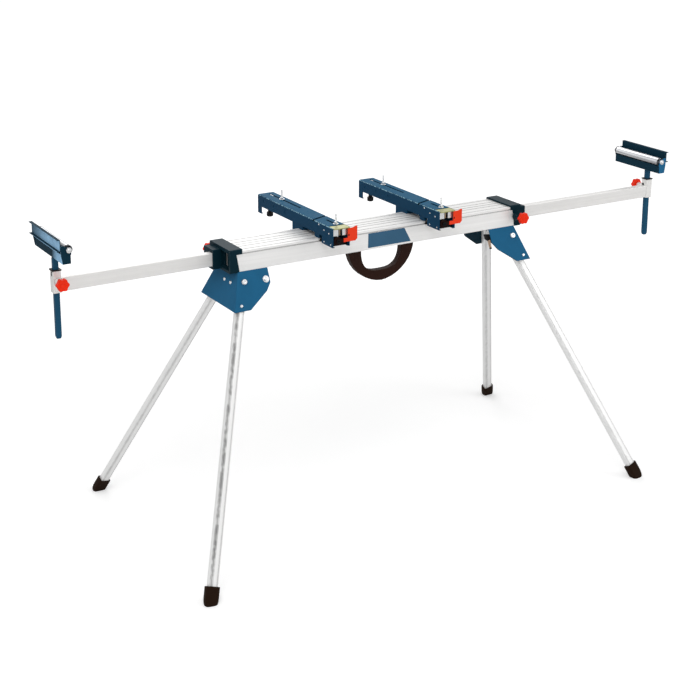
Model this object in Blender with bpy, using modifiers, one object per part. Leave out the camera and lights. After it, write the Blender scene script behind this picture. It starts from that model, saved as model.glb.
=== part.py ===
"""Folding miter saw stand: a grooved aluminium rail on four hinged legs, with two
sliding extension bars that carry roller heads, and two clamp-on arms for the saw.

Metres, +Z up, the rail along X. The side called left is at -X, the front is at -Y.
The two ends are the same parts turned half round; the roller heads are a mirrored pair.
"""

import math

import bmesh
import bpy
from mathutils import Matrix, Vector

# Clearances and mesh fineness
GAP = 0.0003
OVERRUN = 0.004
WELD = 0.00001
ROD_SIDES = 16
TURN_STEPS = 16
ROLLER_STEPS = 28
CORNER_STEPS = 3
SMOOTH_ANGLE = math.radians(35)
SOFT_ANGLE = math.radians(50)

# Rail: one extrusion
RAIL_TOP = 0.8640
RAIL_HEIGHT = 0.0614
RAIL_WIDTH = 0.1266
RAIL_LENGTH = 0.9930
RAIL_WALL = 0.0028
GROOVE_WIDTH = 0.0040
GROOVE_DEPTH = 0.0022
GROOVE_PLACE_SHARES = (0.12, 0.34, 0.66, 0.88)
HOOK_GROOVE_DROP = 0.0062
HOOK_GROOVE_HEIGHT = 0.0040
HOOK_GROOVE_DEPTH = 0.0026
TOP_CHAMBER_HEIGHT = 0.0070
RAIL_BOTTOM = RAIL_TOP - RAIL_HEIGHT
RAIL_HALF = RAIL_LENGTH / 2
RAIL_SIDE = RAIL_WIDTH / 2

# Extension bars: rectangular tube, one each side of the rail's centre web
BAR_WIDTH = 0.0220
BAR_HEIGHT = 0.0402
BAR_WALL = 0.0020
BAR_CORNER = 0.0020
BAR_LENGTH = 0.9400
BAR_LIFT = 0.0063
CENTRE_WEB = 0.0030
PLUG_FLANGE = 0.0030
PLUG_DEPTH = 0.0150
BAR_BOTTOM = RAIL_BOTTOM + BAR_LIFT
BAR_MIDDLE = BAR_BOTTOM + BAR_HEIGHT / 2
BAR_Y = CENTRE_WEB / 2 + GAP + BAR_WIDTH / 2

# Post centres, from the rail's middle
LEFT_REACH = 1.0076
RIGHT_REACH = 1.0962

# End caps
CAP_WALL = 0.0022
CAP_BODY = 0.0205
CAP_RISE = 0.0060
CAP_CORNER = 0.0030
CAP_SKIRT = 0.0055
CAP_SKIRT_SLANT = 0.0100
CAP_CROWN = 0.0190
CAP_TAB_DROP = 0.0090
CAP_BRACKET_ROOM = 0.0020
CAP_POCKET_DEPTH = 0.0140
CAP_POCKET_MARGIN = 0.0050
CAP_POCKET_SIDE = 0.0010
BOSS_LENGTH = 0.0230
BOSS_WALL = 0.0040
BOSS_SIDE = 0.0580
BOSS_DROP = 0.0040
CLAMP_BOSS_RADIUS = 0.0165
CLAMP_BOSS_END = 0.0900
CLAMP_OUT = 0.0065
CLAMP_LIFT = 0.0306
CAP_TOP = RAIL_TOP + CAP_RISE
CAP_TAB_BOTTOM = RAIL_TOP - CAP_TAB_DROP
BOSS_TOP = RAIL_TOP - BOSS_DROP
CLAMP_X = RAIL_HALF + CLAMP_OUT
CLAMP_Z = RAIL_BOTTOM + CLAMP_LIFT

# Star knobs
KNOB_RADIUS = 0.0172
KNOB_LOBES = 6
KNOB_LOBE_DEPTH = 0.0016
KNOB_POINTS_PER_LOBE = 7
KNOB_THICK = 0.0130
KNOB_BEVEL = 0.0018
KNOB_NECK_RADIUS = 0.0085
KNOB_NECK = 0.0030
SCREW_RADIUS = 0.0040

# Collars at the bars' ends, with their flanged bushes
COLLAR_X = 0.0242
COLLAR_Y = 0.0262
COLLAR_WALL = 0.0018
COLLAR_CORNER = 0.0030
COLLAR_LIFT = 0.0047
COLLAR_RISE = 0.0060
COLLAR_BOSS_RADIUS = 0.0080
COLLAR_BOSS_LENGTH = 0.0290
POST_CLAMP_LIFT = 0.0386
BUSH_FLANGE = 0.0026
BUSH_RIM = 0.0018
COLLAR_BOTTOM = RAIL_BOTTOM + COLLAR_LIFT
COLLAR_TOP = RAIL_TOP + COLLAR_RISE
POST_CLAMP_Z = RAIL_BOTTOM + POST_CLAMP_LIFT

# Posts
POST_SIZE = 0.0157
POST_CORNER = 0.0026
POST_WALL = 0.0015
POST_DROP = 0.1904
POST_TAPER = 0.0070
POST_TAPER_SHARE = 0.72
POST_BOTTOM = RAIL_TOP - POST_DROP

# Roller heads, measured outward from the roller's axis
HEAD_OFFSET = 0.0340
ROLLER_INSET = 0.0122
HEAD_HALF = 0.1100
TRAY_RISE = 0.0415
TRAY_HEIGHT = 0.0251
TRAY_WALL = 0.0020
TRAY_INNER = 0.0062
TRAY_OUTER = 0.0169
ROLLER_RISE = 0.0393
ROLLER_RADIUS = 0.0130
ROLLER_END = 0.0030
ROLLER_RIM = 0.0014
ROLLER_HUB = 0.0080
SHAFT_RADIUS = 0.0040
SHAFT_CLEARANCE = 0.0001
NUT_RADIUS = 0.0076
NUT_THICK = 0.0062
SHAFT_END = 0.0030
EAR_RADIUS = 0.0080
STOP_WEB = 0.0238
STOP_SHEET = 0.0022
STOP_EDGE = 0.0007
STOP_FLANGE = 0.0080
STOP_RISE = 0.0310
STOP_DROP = 0.0031
EAR_SHOULDER = 0.0120
TRAY_BOTTOM = RAIL_TOP + TRAY_RISE
TRAY_TOP = TRAY_BOTTOM + TRAY_HEIGHT
ROLLER_Z = TRAY_BOTTOM + ROLLER_RISE
STOP_TOP = ROLLER_Z + STOP_RISE
STOP_BOTTOM = ROLLER_Z - STOP_DROP

# Leg brackets: setbacks inboard of the rail's end, reaches beyond it, drops down the sloping plate
PLATE = 0.0030
PLATE_LEAN = math.radians(25.1)
BRACKET_LENGTH_IN = 0.1005
BRACKET_SETBACK = 0.0045
BRACKET_FLARE = 0.0305
BRACKET_DROP = 0.1143
BRACKET_FOOT_SETBACK = 0.0155
BRACKET_WAIST_SETBACK = 0.0835
BRACKET_WAIST_DROP = 0.0676
BRACKET_CHIN_SETBACK = 0.0980
BRACKET_CHIN_DROP = 0.0477
BRACKET_SIDE_DROP = 0.0378
BRACKET_CORNER = 0.0080
PIVOT_SETBACK = 0.0175
PIVOT_DROP = 0.0313
PIN_REACH = 0.0062
PIN_DROP = 0.0984
BRACKET_INBOARD = RAIL_HALF - BRACKET_LENGTH_IN
BRACKET_OUTBOARD = RAIL_HALF - BRACKET_SETBACK
BRACKET_FOOT_OUT = RAIL_HALF + BRACKET_FLARE
BRACKET_FOOT_IN = RAIL_HALF - BRACKET_FOOT_SETBACK
BRACKET_WAIST = RAIL_HALF - BRACKET_WAIST_SETBACK
BRACKET_CHIN = RAIL_HALF - BRACKET_CHIN_SETBACK
PIVOT_OUT = RAIL_HALF - PIVOT_SETBACK
PIN_OUT = RAIL_HALF + PIN_REACH

# Legs and feet
LEG_WIDTH = 0.0280
LEG_THICK = 0.0200
LEG_CORNER = 0.0030
LEG_WALL = 0.0020
LEG_GROOVE_WIDTH = 0.0034
LEG_GROOVE_DEPTH = 0.0011
LEG_GROOVE_SHARES = (0.20, 0.80)
LEG_SPLAY = math.radians(19.0)
LEG_HEAD = 0.0100
LEG_GAP = 0.0015
LANE_PITCH = 0.0208
FOOT_WIDTH = 0.0400
FOOT_THICK = 0.0270
FOOT_CORNER = 0.0080
FOOT_HEIGHT = 0.0600
FOOT_SOCKET = 0.0360
FOOT_DOME_SHARE = 0.62
FOOT_DOME_RINGS = 5
FOOT_TIP_SHARE = 0.30
FOOT_BELOW = 0.0120

# Pivot bolts, lock pins and latches
BOLT_RADIUS = 0.0050
BOLT_HEAD_RADIUS = 0.0090
BOLT_HEAD = 0.0060
BOLT_SOCKET_RADIUS = 0.0042
BOLT_SOCKET_DEPTH = 0.0030
BOLT_SLEEVE_RADIUS = 0.0080
BOLT_CROWN_SHARE = 0.8
BOLT_NUT_RADIUS = 0.0085
BOLT_NUT = 0.0065
PIN_RADIUS = 0.0030
PIN_HEAD_RADIUS = 0.0048
PIN_HEAD = 0.0040
PIN_CROWN_SHARE = 0.7
LATCH_SHEET = 0.0040
LATCH_DEPTH = 0.0090
LATCH_PIN_SETBACK = 0.0815
LATCH_PIN_DROP = 0.0268
LATCH_PIN_RADIUS = 0.0040
LATCH_TAB = 0.0330
LATCH_HEIGHT = 0.0160
LATCH_HOOK = 0.0260
LATCH_CORNER = 0.0040
LATCH_PIN_OUT = RAIL_HALF - LATCH_PIN_SETBACK

# Handle
HANDLE_MIDDLE = 0.0085
HANDLE_HALF = 0.1170
HANDLE_DROP = 0.1106
GRIP_HALF = 0.0722
GRIP_DROP = 0.0770
HANDLE_FRONT = 0.0420
HANDLE_THICK = 0.0240
HANDLE_BEVEL = 0.0050
HANDLE_ROUND = 1.85
GRIP_ROUND = 2.9
HANDLE_POINTS = 18
HANDLE_BOTTOM = RAIL_BOTTOM - HANDLE_DROP
GRIP_BOTTOM = RAIL_BOTTOM - GRIP_DROP

# Arms, as distances from the arm's middle in X
LEFT_ARM_X = -0.1955
RIGHT_ARM_X = 0.1770
ARM_WIDTH = 0.0580
ARM_SHEET = 0.0025
ARM_CORNER = 0.0045
ARM_FRONT = -0.1450
ARM_REAR = 0.3215
ARM_RISE = 0.0495
ARM_SKIRT_DROP = 0.0095
ARM_WALL_LIFT = 0.0133
ARM_STEP_Y = -0.0813
ARM_TAIL_Y = 0.2985
ARM_TOP_FRONT = -0.1170
SLOT_WIDTH = 0.0070
SLOT_OFFSET = 0.0045
REAR_SLOT_START = 0.1040
REAR_SLOT_END = 0.3060
FRONT_SLOT_START = -0.1110
FRONT_SLOT_END = -0.0500
NOTCH_Y = -0.0200
NOTCH_WIDTH = 0.0090
NOTCH_DEPTH = 0.0060
NOTCH_SLANT = math.radians(20.0)
WINDOW_PLACES = (0.1434, 0.2154, 0.2845)
WINDOW_WIDTH = 0.0034
WINDOW_HEIGHT = 0.0090
WINDOW_DROP = 0.0159
HOOK_DEPTH = 0.0360
HOOK_DROP = 0.0070
SADDLE_HEIGHT = 0.0180
SADDLE_LENGTH = 0.0260
FRONT_SADDLE_WIDTH = 0.0090
HOOK_LIP = 0.0020
LIP_WIDTH = 0.0070
LUG_Y = -0.1120
LUG_THICK = 0.0150
LUG_WIDTH = 0.0275
LUG_RISE = 0.0169
NUT_PLATE_Y = 0.2960
NUT_PLATE_LENGTH = 0.0180
NUT_PLATE_LIFT = 0.0143
NUT_PLATE_THICK = 0.0040
ARM_TOP = RAIL_TOP + ARM_RISE
ARM_SKIRT = RAIL_TOP - ARM_SKIRT_DROP
ARM_WALL_BOTTOM = RAIL_TOP + ARM_WALL_LIFT
WINDOW_Z = ARM_TOP - WINDOW_DROP
LUG_TOP = RAIL_TOP + LUG_RISE
NUT_PLATE_BOTTOM = RAIL_TOP + NUT_PLATE_LIFT

# Clamp jaw, lever and zinc plate at an arm's front end
JAW_FRONT = -0.1340
JAW_HEIGHT = 0.0082
LEVER_PIVOT = -0.0120
LEVER_PIVOT_RISE = 0.0090
LEVER_THICK = 0.0030
LEVER_LEFT = 0.0212
LEVER_RIGHT = 0.0524
LEVER_DROP = 0.0045
LEVER_RISE = 0.0356
LEVER_LIP_LEFT = 0.0390
LEVER_LIP_RISE = 0.0050
LEVER_ARM_HEIGHT = 0.0110
LEVER_HUB_RADIUS = 0.0130
LEVER_HUB = 0.0075
LEVER_PIN_RADIUS = 0.0035
LEVER_CORNER = 0.0030
LEVER_EDGE = 0.0010
ZINC_THICK = 0.0030
ZINC_FRONT = -0.1500
ZINC_DROP = 0.0010
PILLAR_X = -0.0080
PILLAR_Y = -0.1230
PILLAR_RADIUS = 0.0032
LEVER_PIVOT_Z = RAIL_TOP + LEVER_PIVOT_RISE
LEVER_BOTTOM = LEVER_PIVOT_Z - LEVER_DROP
LEVER_TOP = LEVER_PIVOT_Z + LEVER_RISE
ZINC_TOP = ARM_TOP - ZINC_DROP

# Mounting bolts and the knobs under the arms' rear ends
MOUNT_BOLT_RADIUS = 0.0030
MOUNT_BOLT_RISE = 0.0318
MOUNT_WASHER_RADIUS = 0.0085
MOUNT_WASHER = 0.0014
MOUNT_NUT_RADIUS = 0.0055
MOUNT_NUT = 0.0050
MOUNT_HEAD_RADIUS = 0.0075
MOUNT_HEAD = 0.0045
FRONT_BOLT_Y = -0.1060
REAR_BOLT_Y = 0.2246
REAR_KNOB_RADIUS = 0.0105
REAR_KNOB_HEIGHT = 0.0133
REAR_KNOB_DROP = 0.0213
REAR_KNOB_NECK_SHARE = 0.6
REAR_KNOB_ROUND_SHARE = 0.2
REAR_STUD_RADIUS = 0.0040
REAR_STUD_RISE = 0.0133
MOUNT_BOLT_TOP = ARM_TOP + MOUNT_BOLT_RISE
REAR_KNOB_TOP = NUT_PLATE_BOTTOM - REAR_KNOB_DROP
REAR_KNOB_BOTTOM = REAR_KNOB_TOP - REAR_KNOB_HEIGHT
REAR_STUD_TOP = NUT_PLATE_BOTTOM + REAR_STUD_RISE

# The model is centred on its own box, whose ends are the two stop channels
CENTRE_SHIFT = (LEFT_REACH - RIGHT_REACH) / 2

X_AXIS = Vector((1, 0, 0))
Y_AXIS = Vector((0, 1, 0))
Z_AXIS = Vector((0, 0, 1))
HALF_TURN = Matrix.Rotation(math.pi, 4, "Z")


def clear_scene():
    """Empties the scene of its objects."""
    for obj in list(bpy.data.objects):
        bpy.data.objects.remove(obj)


def new_collection(name):
    """A collection linked to the scene."""
    collection = bpy.data.collections.new(name)
    bpy.context.scene.collection.children.link(collection)
    return collection


def finish(name, color, roughness, metallic):
    """A Principled material."""
    material = bpy.data.materials.new(name)
    material.use_nodes = True
    shader = material.node_tree.nodes["Principled BSDF"]
    shader.inputs["Base Color"].default_value = (*color, 1)
    shader.inputs["Roughness"].default_value = roughness
    shader.inputs["Metallic"].default_value = metallic
    return material


def placing(first, second, third, origin=(0, 0, 0)):
    """The matrix that carries local axes to three directions, and the local origin to a point."""
    turn = Matrix((Vector(first), Vector(second), Vector(third))).transposed().to_4x4()
    return Matrix.Translation(Vector(origin)) @ turn


# Outlines are drawn in the first two directions and extruded along the third
ALONG_X = placing(Y_AXIS, Z_AXIS, X_AXIS)
ALONG_Y = placing(X_AXIS, Z_AXIS, Y_AXIS)
ALONG_Z = placing(X_AXIS, Y_AXIS, Z_AXIS)


def placed(mesh, place):
    """The mesh moved by a matrix, its doubles merged and its faces turned outward."""
    build = bmesh.new()
    build.from_mesh(mesh)
    bmesh.ops.transform(build, matrix=place, verts=build.verts)
    bmesh.ops.remove_doubles(build, verts=build.verts, dist=WELD)
    bmesh.ops.recalc_face_normals(build, faces=build.faces)
    build.to_mesh(mesh)
    build.free()
    return mesh


def evaluated(data, add_modifier=None):
    """The mesh of a curve or profile as the viewport evaluates it."""
    carrier = bpy.data.objects.new("carrier", data)
    bpy.context.scene.collection.objects.link(carrier)
    if add_modifier:
        add_modifier(carrier)
    bpy.context.view_layer.update()
    graph = bpy.context.evaluated_depsgraph_get()
    mesh = bpy.data.meshes.new_from_object(carrier.evaluated_get(graph))
    bpy.data.objects.remove(carrier)
    return mesh


def prism(loops, low, high, place):
    """A flat outline with its holes, extruded from low to high along the placing's third direction."""
    curve = bpy.data.curves.new("outline", "CURVE")
    curve.dimensions = "2D"
    curve.fill_mode = "BOTH"
    curve.extrude = (high - low) / 2
    for loop in loops:
        spline = curve.splines.new("POLY")
        spline.points.add(len(loop) - 1)
        for point, (across, up) in zip(spline.points, loop):
            point.co = (across, up, 0, 1)
        spline.use_cyclic_u = True
    mesh = evaluated(curve)
    bpy.data.curves.remove(curve)
    return placed(mesh, place @ Matrix.Translation(Z_AXIS * (low + high) / 2))


def rod(radius, low, high, place, sides=ROD_SIDES):
    """A round bar from low to high along the placing's third direction."""
    mesh = bpy.data.meshes.new("rod")
    build = bmesh.new()
    bmesh.ops.create_cone(
        build, cap_ends=True, segments=sides, radius1=radius, radius2=radius, depth=high - low
    )
    build.to_mesh(mesh)
    build.free()
    return placed(mesh, place @ Matrix.Translation(Z_AXIS * (low + high) / 2))


def block(low, high, place=ALONG_Z):
    """A square-edged block between two corners."""
    low = Vector(low)
    high = Vector(high)
    mesh = bpy.data.meshes.new("block")
    build = bmesh.new()
    bmesh.ops.create_cube(build, size=1)
    bmesh.ops.scale(build, vec=high - low, verts=build.verts)
    build.to_mesh(mesh)
    build.free()
    return placed(mesh, place @ Matrix.Translation((low + high) / 2))


def turned(profile, place, closed=False, steps=TURN_STEPS):
    """A profile of (radius, height) pairs, top to bottom, turned round the placing's third direction."""
    mesh = bpy.data.meshes.new("profile")
    edges = [(i, i + 1) for i in range(len(profile) - 1)]
    if closed:
        edges.append((len(profile) - 1, 0))
    mesh.from_pydata([(radius, 0, height) for radius, height in profile], edges, [])

    def add_screw(carrier):
        screw = carrier.modifiers.new("turn", "SCREW")
        screw.steps = steps
        screw.render_steps = steps
        screw.use_merge_vertices = True
        screw.merge_threshold = WELD

    return placed(evaluated(mesh, add_screw), place)


def loft(rings, place):
    """A closed skin through rings of equal count, each ring a list of points, with flat ends."""
    count = len(rings[0])
    points = [point for ring in rings for point in ring]
    faces = [tuple(range(count)), tuple(range(len(points) - count, len(points)))]
    for row in range(len(rings) - 1):
        for column in range(count):
            after = (column + 1) % count
            start = row * count
            faces.append((start + column, start + after, start + count + after, start + count + column))
    mesh = bpy.data.meshes.new("loft")
    mesh.from_pydata(points, [], faces)
    return placed(mesh, place)


def rounded(width, height, radius, middle=(0, 0), steps=CORNER_STEPS):
    """The outline of a rectangle with round corners."""
    points = []
    for quarter in range(4):
        side = 1 if quarter in (0, 3) else -1
        rise = 1 if quarter in (0, 1) else -1
        across = middle[0] + side * (width / 2 - radius)
        up = middle[1] + rise * (height / 2 - radius)
        for step in range(steps + 1):
            angle = (quarter + step / steps) * math.pi / 2
            points.append((across + radius * math.cos(angle), up + radius * math.sin(angle)))
    return points


def circle(radius, middle, sides=ROD_SIDES):
    """The outline of a round hole."""
    angles = [2 * math.pi * step / sides for step in range(sides)]
    return [(middle[0] + radius * math.cos(a), middle[1] + radius * math.sin(a)) for a in angles]


def filleted(corners, steps=CORNER_STEPS):
    """An outline of (across, up, radius) corners, each rounded by an arc tangent to its two sides."""
    points = []
    count = len(corners)
    for index, (across, up, radius) in enumerate(corners):
        corner = Vector((across, up))
        before = Vector(corners[index - 1][:2]) - corner
        after = Vector(corners[(index + 1) % count][:2]) - corner
        if radius == 0:
            points.append(tuple(corner))
            continue
        before.normalize()
        after.normalize()
        half = before.angle(after) / 2
        centre = corner + (before + after).normalized() * (radius / math.sin(half))
        start = corner + before * (radius / math.tan(half)) - centre
        end = corner + after * (radius / math.tan(half)) - centre
        sweep = start.angle_signed(end)
        for step in range(steps + 1):
            turn = Matrix.Rotation(-sweep * step / steps, 2)
            points.append(tuple(centre + turn @ start))
    return points


def grooved(start, end, middles, width, depth, inward):
    """The points of a straight side with square grooves, from its start up to its end."""
    start = Vector(start)
    along = (Vector(end) - start).normalized()
    inward = Vector(inward) * depth
    points = [tuple(start)]
    for middle in middles:
        near = start + along * (middle - width / 2)
        far = start + along * (middle + width / 2)
        points += [tuple(near), tuple(near + inward), tuple(far + inward), tuple(far)]
    return points


def part(name, mesh, material, axis_point=(0, 0, 0)):
    """One named sub-part, with its origin at a point of its joint's axis."""
    mesh.transform(Matrix.Translation(-Vector(axis_point)))
    mesh.name = name
    mesh.materials.clear()
    mesh.materials.append(material)
    mesh.shade_smooth()
    mesh.set_sharp_from_angle(angle=SMOOTH_ANGLE)
    obj = bpy.data.objects.new(name, mesh)
    obj.location = Vector(axis_point)
    obj.parent = stand
    parts.objects.link(obj)
    return obj


def shape_with(obj, tool, operation):
    """Cuts a tool's shape out of an object, or joins it on."""
    count = len(obj.modifiers)
    cutter = bpy.data.objects.new(f"{obj.name}_tool_{count}", tool)
    cutter.hide_render = True
    cutter.display_type = "WIRE"
    cutter.parent = stand
    cutters.objects.link(cutter)
    modifier = obj.modifiers.new(f"{operation.lower()}_{count}", "BOOLEAN")
    modifier.operation = operation
    modifier.solver = "EXACT"
    modifier.object = cutter


def join(obj, tool):
    """Joins a tool's shape onto an object."""
    shape_with(obj, tool, "UNION")


def cut(obj, tool):
    """Cuts a tool's shape out of an object."""
    shape_with(obj, tool, "DIFFERENCE")


# The rail


def channel_outline(side):
    """One bar channel of the rail, with the bar's running clearance."""
    return rounded(
        BAR_WIDTH + GAP * 2, BAR_HEIGHT + GAP * 2, BAR_CORNER, (side * BAR_Y, BAR_MIDDLE)
    )


def make_rail():
    """The extrusion: an outline with its grooves, two bar channels and three hollow chambers."""
    hook_middle = HOOK_GROOVE_DROP + HOOK_GROOVE_HEIGHT / 2
    top_places = [share * RAIL_WIDTH for share in GROOVE_PLACE_SHARES]
    outer = [(-RAIL_SIDE, RAIL_BOTTOM)]
    outer += grooved(
        (RAIL_SIDE, RAIL_BOTTOM), (RAIL_SIDE, RAIL_TOP), [RAIL_HEIGHT - hook_middle],
        HOOK_GROOVE_HEIGHT, HOOK_GROOVE_DEPTH, (-1, 0),
    )
    outer += grooved(
        (RAIL_SIDE, RAIL_TOP), (-RAIL_SIDE, RAIL_TOP), top_places, GROOVE_WIDTH, GROOVE_DEPTH, (0, -1)
    )
    outer += grooved(
        (-RAIL_SIDE, RAIL_TOP), (-RAIL_SIDE, RAIL_BOTTOM), [hook_middle],
        HOOK_GROOVE_HEIGHT, HOOK_GROOVE_DEPTH, (1, 0),
    )
    core_half = BAR_Y + BAR_WIDTH / 2 + GAP
    chamber_top = RAIL_TOP - GROOVE_DEPTH - RAIL_WALL
    inner = core_half + RAIL_WALL
    outer_edge = RAIL_SIDE - HOOK_GROOVE_DEPTH - RAIL_WALL
    chamber_bottom = RAIL_BOTTOM + RAIL_WALL
    chamber = (outer_edge - inner, chamber_top - chamber_bottom)
    loops = [outer, channel_outline(1), channel_outline(-1)]
    for side in (-1, 1):
        middle = (side * (inner + outer_edge) / 2, (chamber_bottom + chamber_top) / 2)
        loops.append(rounded(*chamber, BAR_CORNER, middle))
    loops.append(
        rounded(core_half * 2, TOP_CHAMBER_HEIGHT, BAR_CORNER, (0, chamber_top - TOP_CHAMBER_HEIGHT / 2))
    )
    part("rail", prism(loops, -RAIL_HALF, RAIL_HALF, ALONG_X), aluminium)


# What repeats at both ends is drawn for the left end and turned half round for the right


def make_end_cap(side, turn):
    """The casting over the rail's end, with its bar boss, pocket, crown and clamp boss."""
    inner_face = RAIL_HALF + GAP
    outer_face = inner_face + CAP_BODY
    shell_side = RAIL_SIDE + GAP + CAP_WALL
    shell_bottom = RAIL_BOTTOM - GAP - CAP_WALL
    height = CAP_TOP - shell_bottom
    body = rounded(shell_side * 2, height, CAP_CORNER, (0, (CAP_TOP + shell_bottom) / 2))
    cap = part(f"{side}_end_cap", prism([body], -outer_face, -inner_face, turn @ ALONG_X), cap_blue)

    rail_hole = [
        (-RAIL_SIDE - GAP, RAIL_BOTTOM - GAP),
        (RAIL_SIDE + GAP, RAIL_BOTTOM - GAP),
        (RAIL_SIDE + GAP, RAIL_TOP + GAP),
        (-RAIL_SIDE - GAP, RAIL_TOP + GAP),
    ]
    crown_end = RAIL_HALF - CAP_CROWN
    join(cap, prism([body, rail_hole], -inner_face - CAP_WALL, -crown_end, turn @ ALONG_X))
    skirt_end = RAIL_HALF - CAP_SKIRT
    skirt_low = shell_bottom - OVERRUN
    for face in (-1, 1):
        lean = face * CAP_SKIRT_SLANT / 2
        wedge = [
            (OVERRUN - crown_end, skirt_low),
            (OVERRUN - crown_end, CAP_TAB_BOTTOM),
            (lean - skirt_end, CAP_TAB_BOTTOM),
            (-lean - skirt_end, skirt_low),
        ]
        reach = sorted((face * (RAIL_SIDE - BAR_WALL), face * (shell_side + OVERRUN)))
        cut(cap, prism([wedge], *reach, turn @ ALONG_Y))
    room = -BRACKET_OUTBOARD - CAP_BRACKET_ROOM
    beyond = shell_side + OVERRUN
    cut(cap, block((room, -beyond, skirt_low), (OVERRUN - crown_end, beyond, RAIL_BOTTOM), turn))

    pocket_edge = RAIL_SIDE - CAP_POCKET_MARGIN
    pocket = rounded(
        pocket_edge - CAP_POCKET_SIDE,
        RAIL_HEIGHT - CAP_POCKET_MARGIN * 2,
        CAP_CORNER,
        (-(pocket_edge + CAP_POCKET_SIDE) / 2, (RAIL_TOP + RAIL_BOTTOM) / 2),
    )
    pocket_floor = -outer_face + CAP_POCKET_DEPTH
    cut(cap, prism([pocket], -outer_face - OVERRUN, pocket_floor, turn @ ALONG_X))
    cut(cap, prism([channel_outline(-1)], -outer_face, -inner_face + OVERRUN, turn @ ALONG_X))

    boss_near = BAR_Y - BAR_WIDTH / 2 - GAP - BOSS_WALL
    boss = rounded(
        BOSS_SIDE - boss_near,
        BOSS_TOP - shell_bottom,
        CAP_CORNER,
        ((BOSS_SIDE + boss_near) / 2, (BOSS_TOP + shell_bottom) / 2),
    )
    boss_end = -outer_face - BOSS_LENGTH
    join(cap, prism([boss], boss_end, -outer_face + CAP_WALL, turn @ ALONG_X))
    cut(cap, prism([channel_outline(1)], boss_end - OVERRUN, -inner_face + OVERRUN, turn @ ALONG_X))

    clamp = turn @ placing(X_AXIS, Z_AXIS, Y_AXIS, (-CLAMP_X, 0, CLAMP_Z))
    join(cap, rod(CLAMP_BOSS_RADIUS, shell_side - CAP_WALL / 2, CLAMP_BOSS_END, clamp, ROLLER_STEPS))
    cut(cap, rod(SCREW_RADIUS + GAP, BAR_Y, CLAMP_BOSS_END + OVERRUN, clamp))


def star_outline():
    """The lobed rim of a star knob: a circle whose radius waves once for each lobe."""
    count = KNOB_LOBES * KNOB_POINTS_PER_LOBE
    points = []
    for step in range(count):
        angle = 2 * math.pi * step / count
        radius = KNOB_RADIUS + KNOB_LOBE_DEPTH * math.cos(KNOB_LOBES * angle)
        points.append((radius * math.cos(angle), radius * math.sin(angle)))
    return points


def make_star_knob(name, place, seat, tip):
    """A star knob whose neck starts at the seat and whose screw runs back to the tip."""
    foot = seat + GAP + KNOB_NECK
    knob = part(name, prism([star_outline()], foot, foot + KNOB_THICK, place), knob_red, place.translation)
    bevel = knob.modifiers.new("rim", "BEVEL")
    bevel.width = KNOB_BEVEL
    bevel.segments = 1
    join(knob, rod(KNOB_NECK_RADIUS, seat + GAP, foot + KNOB_BEVEL, place))
    join(knob, rod(SCREW_RADIUS, tip + GAP, foot + KNOB_BEVEL * 2, place))


def make_extension(side, turn, reach):
    """The bar with its plug, and the collar with its bush and clamp boss."""
    collar_face = reach - COLLAR_X / 2 - GAP
    bar_inner = -collar_face + BAR_LENGTH
    middle = (BAR_Y, BAR_MIDDLE)
    hollow = (BAR_WIDTH - BAR_WALL * 2, BAR_HEIGHT - BAR_WALL * 2)
    tube = [rounded(BAR_WIDTH, BAR_HEIGHT, BAR_CORNER, middle), rounded(*hollow, BAR_CORNER / 2, middle)]
    part(f"{side}_extension_bar", prism(tube, -collar_face, bar_inner, turn @ ALONG_X), bar_grey)

    flange = rounded(BAR_WIDTH, BAR_HEIGHT, BAR_CORNER, middle)
    plug_face = bar_inner + GAP
    plug = part(
        f"{side}_bar_plug", prism([flange], plug_face, plug_face + PLUG_FLANGE, turn @ ALONG_X), rubber
    )
    stem = rounded(hollow[0] - GAP * 2, hollow[1] - GAP * 2, BAR_CORNER / 2, middle)
    join(plug, prism([stem], plug_face - PLUG_DEPTH, plug_face + PLUG_FLANGE / 2, turn @ ALONG_X))

    centre = (-reach, BAR_Y)
    bore = (COLLAR_X - COLLAR_WALL * 2, COLLAR_Y - COLLAR_WALL * 2)
    walls = [rounded(COLLAR_X, COLLAR_Y, COLLAR_CORNER, centre), rounded(*bore, COLLAR_WALL, centre)]
    collar = part(f"{side}_collar", prism(walls, COLLAR_BOTTOM, COLLAR_TOP, turn @ ALONG_Z), bar_grey)
    clamp = turn @ placing(X_AXIS, Z_AXIS, -Y_AXIS, (-reach, BAR_Y, POST_CLAMP_Z))
    face = COLLAR_Y / 2
    join(collar, rod(COLLAR_BOSS_RADIUS, face - COLLAR_WALL / 2, face + COLLAR_BOSS_LENGTH, clamp))
    cut(collar, rod(SCREW_RADIUS + GAP, 0, face + COLLAR_BOSS_LENGTH + OVERRUN, clamp))

    guide = POST_SIZE + GAP * 2
    liner = (bore[0] - GAP * 2, bore[1] - GAP * 2)
    post_hole = rounded(guide, guide, POST_CORNER, centre)
    sleeve = [rounded(*liner, COLLAR_WALL - GAP, centre), post_hole]
    liner_top = COLLAR_TOP + BUSH_FLANGE
    bush = part(f"{side}_bush", prism(sleeve, COLLAR_BOTTOM, liner_top, turn @ ALONG_Z), black_plastic)
    rim = [rounded(COLLAR_X + BUSH_RIM * 2, COLLAR_Y + BUSH_RIM * 2, COLLAR_CORNER, centre), post_hole]
    join(bush, prism(rim, COLLAR_TOP + GAP, COLLAR_TOP + GAP + BUSH_FLANGE, turn @ ALONG_Z))
    cut(bush, rod(SCREW_RADIUS + GAP, 0, face, clamp))
    make_star_knob(f"{side}_post_knob", clamp, face + COLLAR_BOSS_LENGTH, POST_SIZE / 2)


# Roller heads: drawn outward from the roller's axis, so that the pair is mirrored


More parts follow.
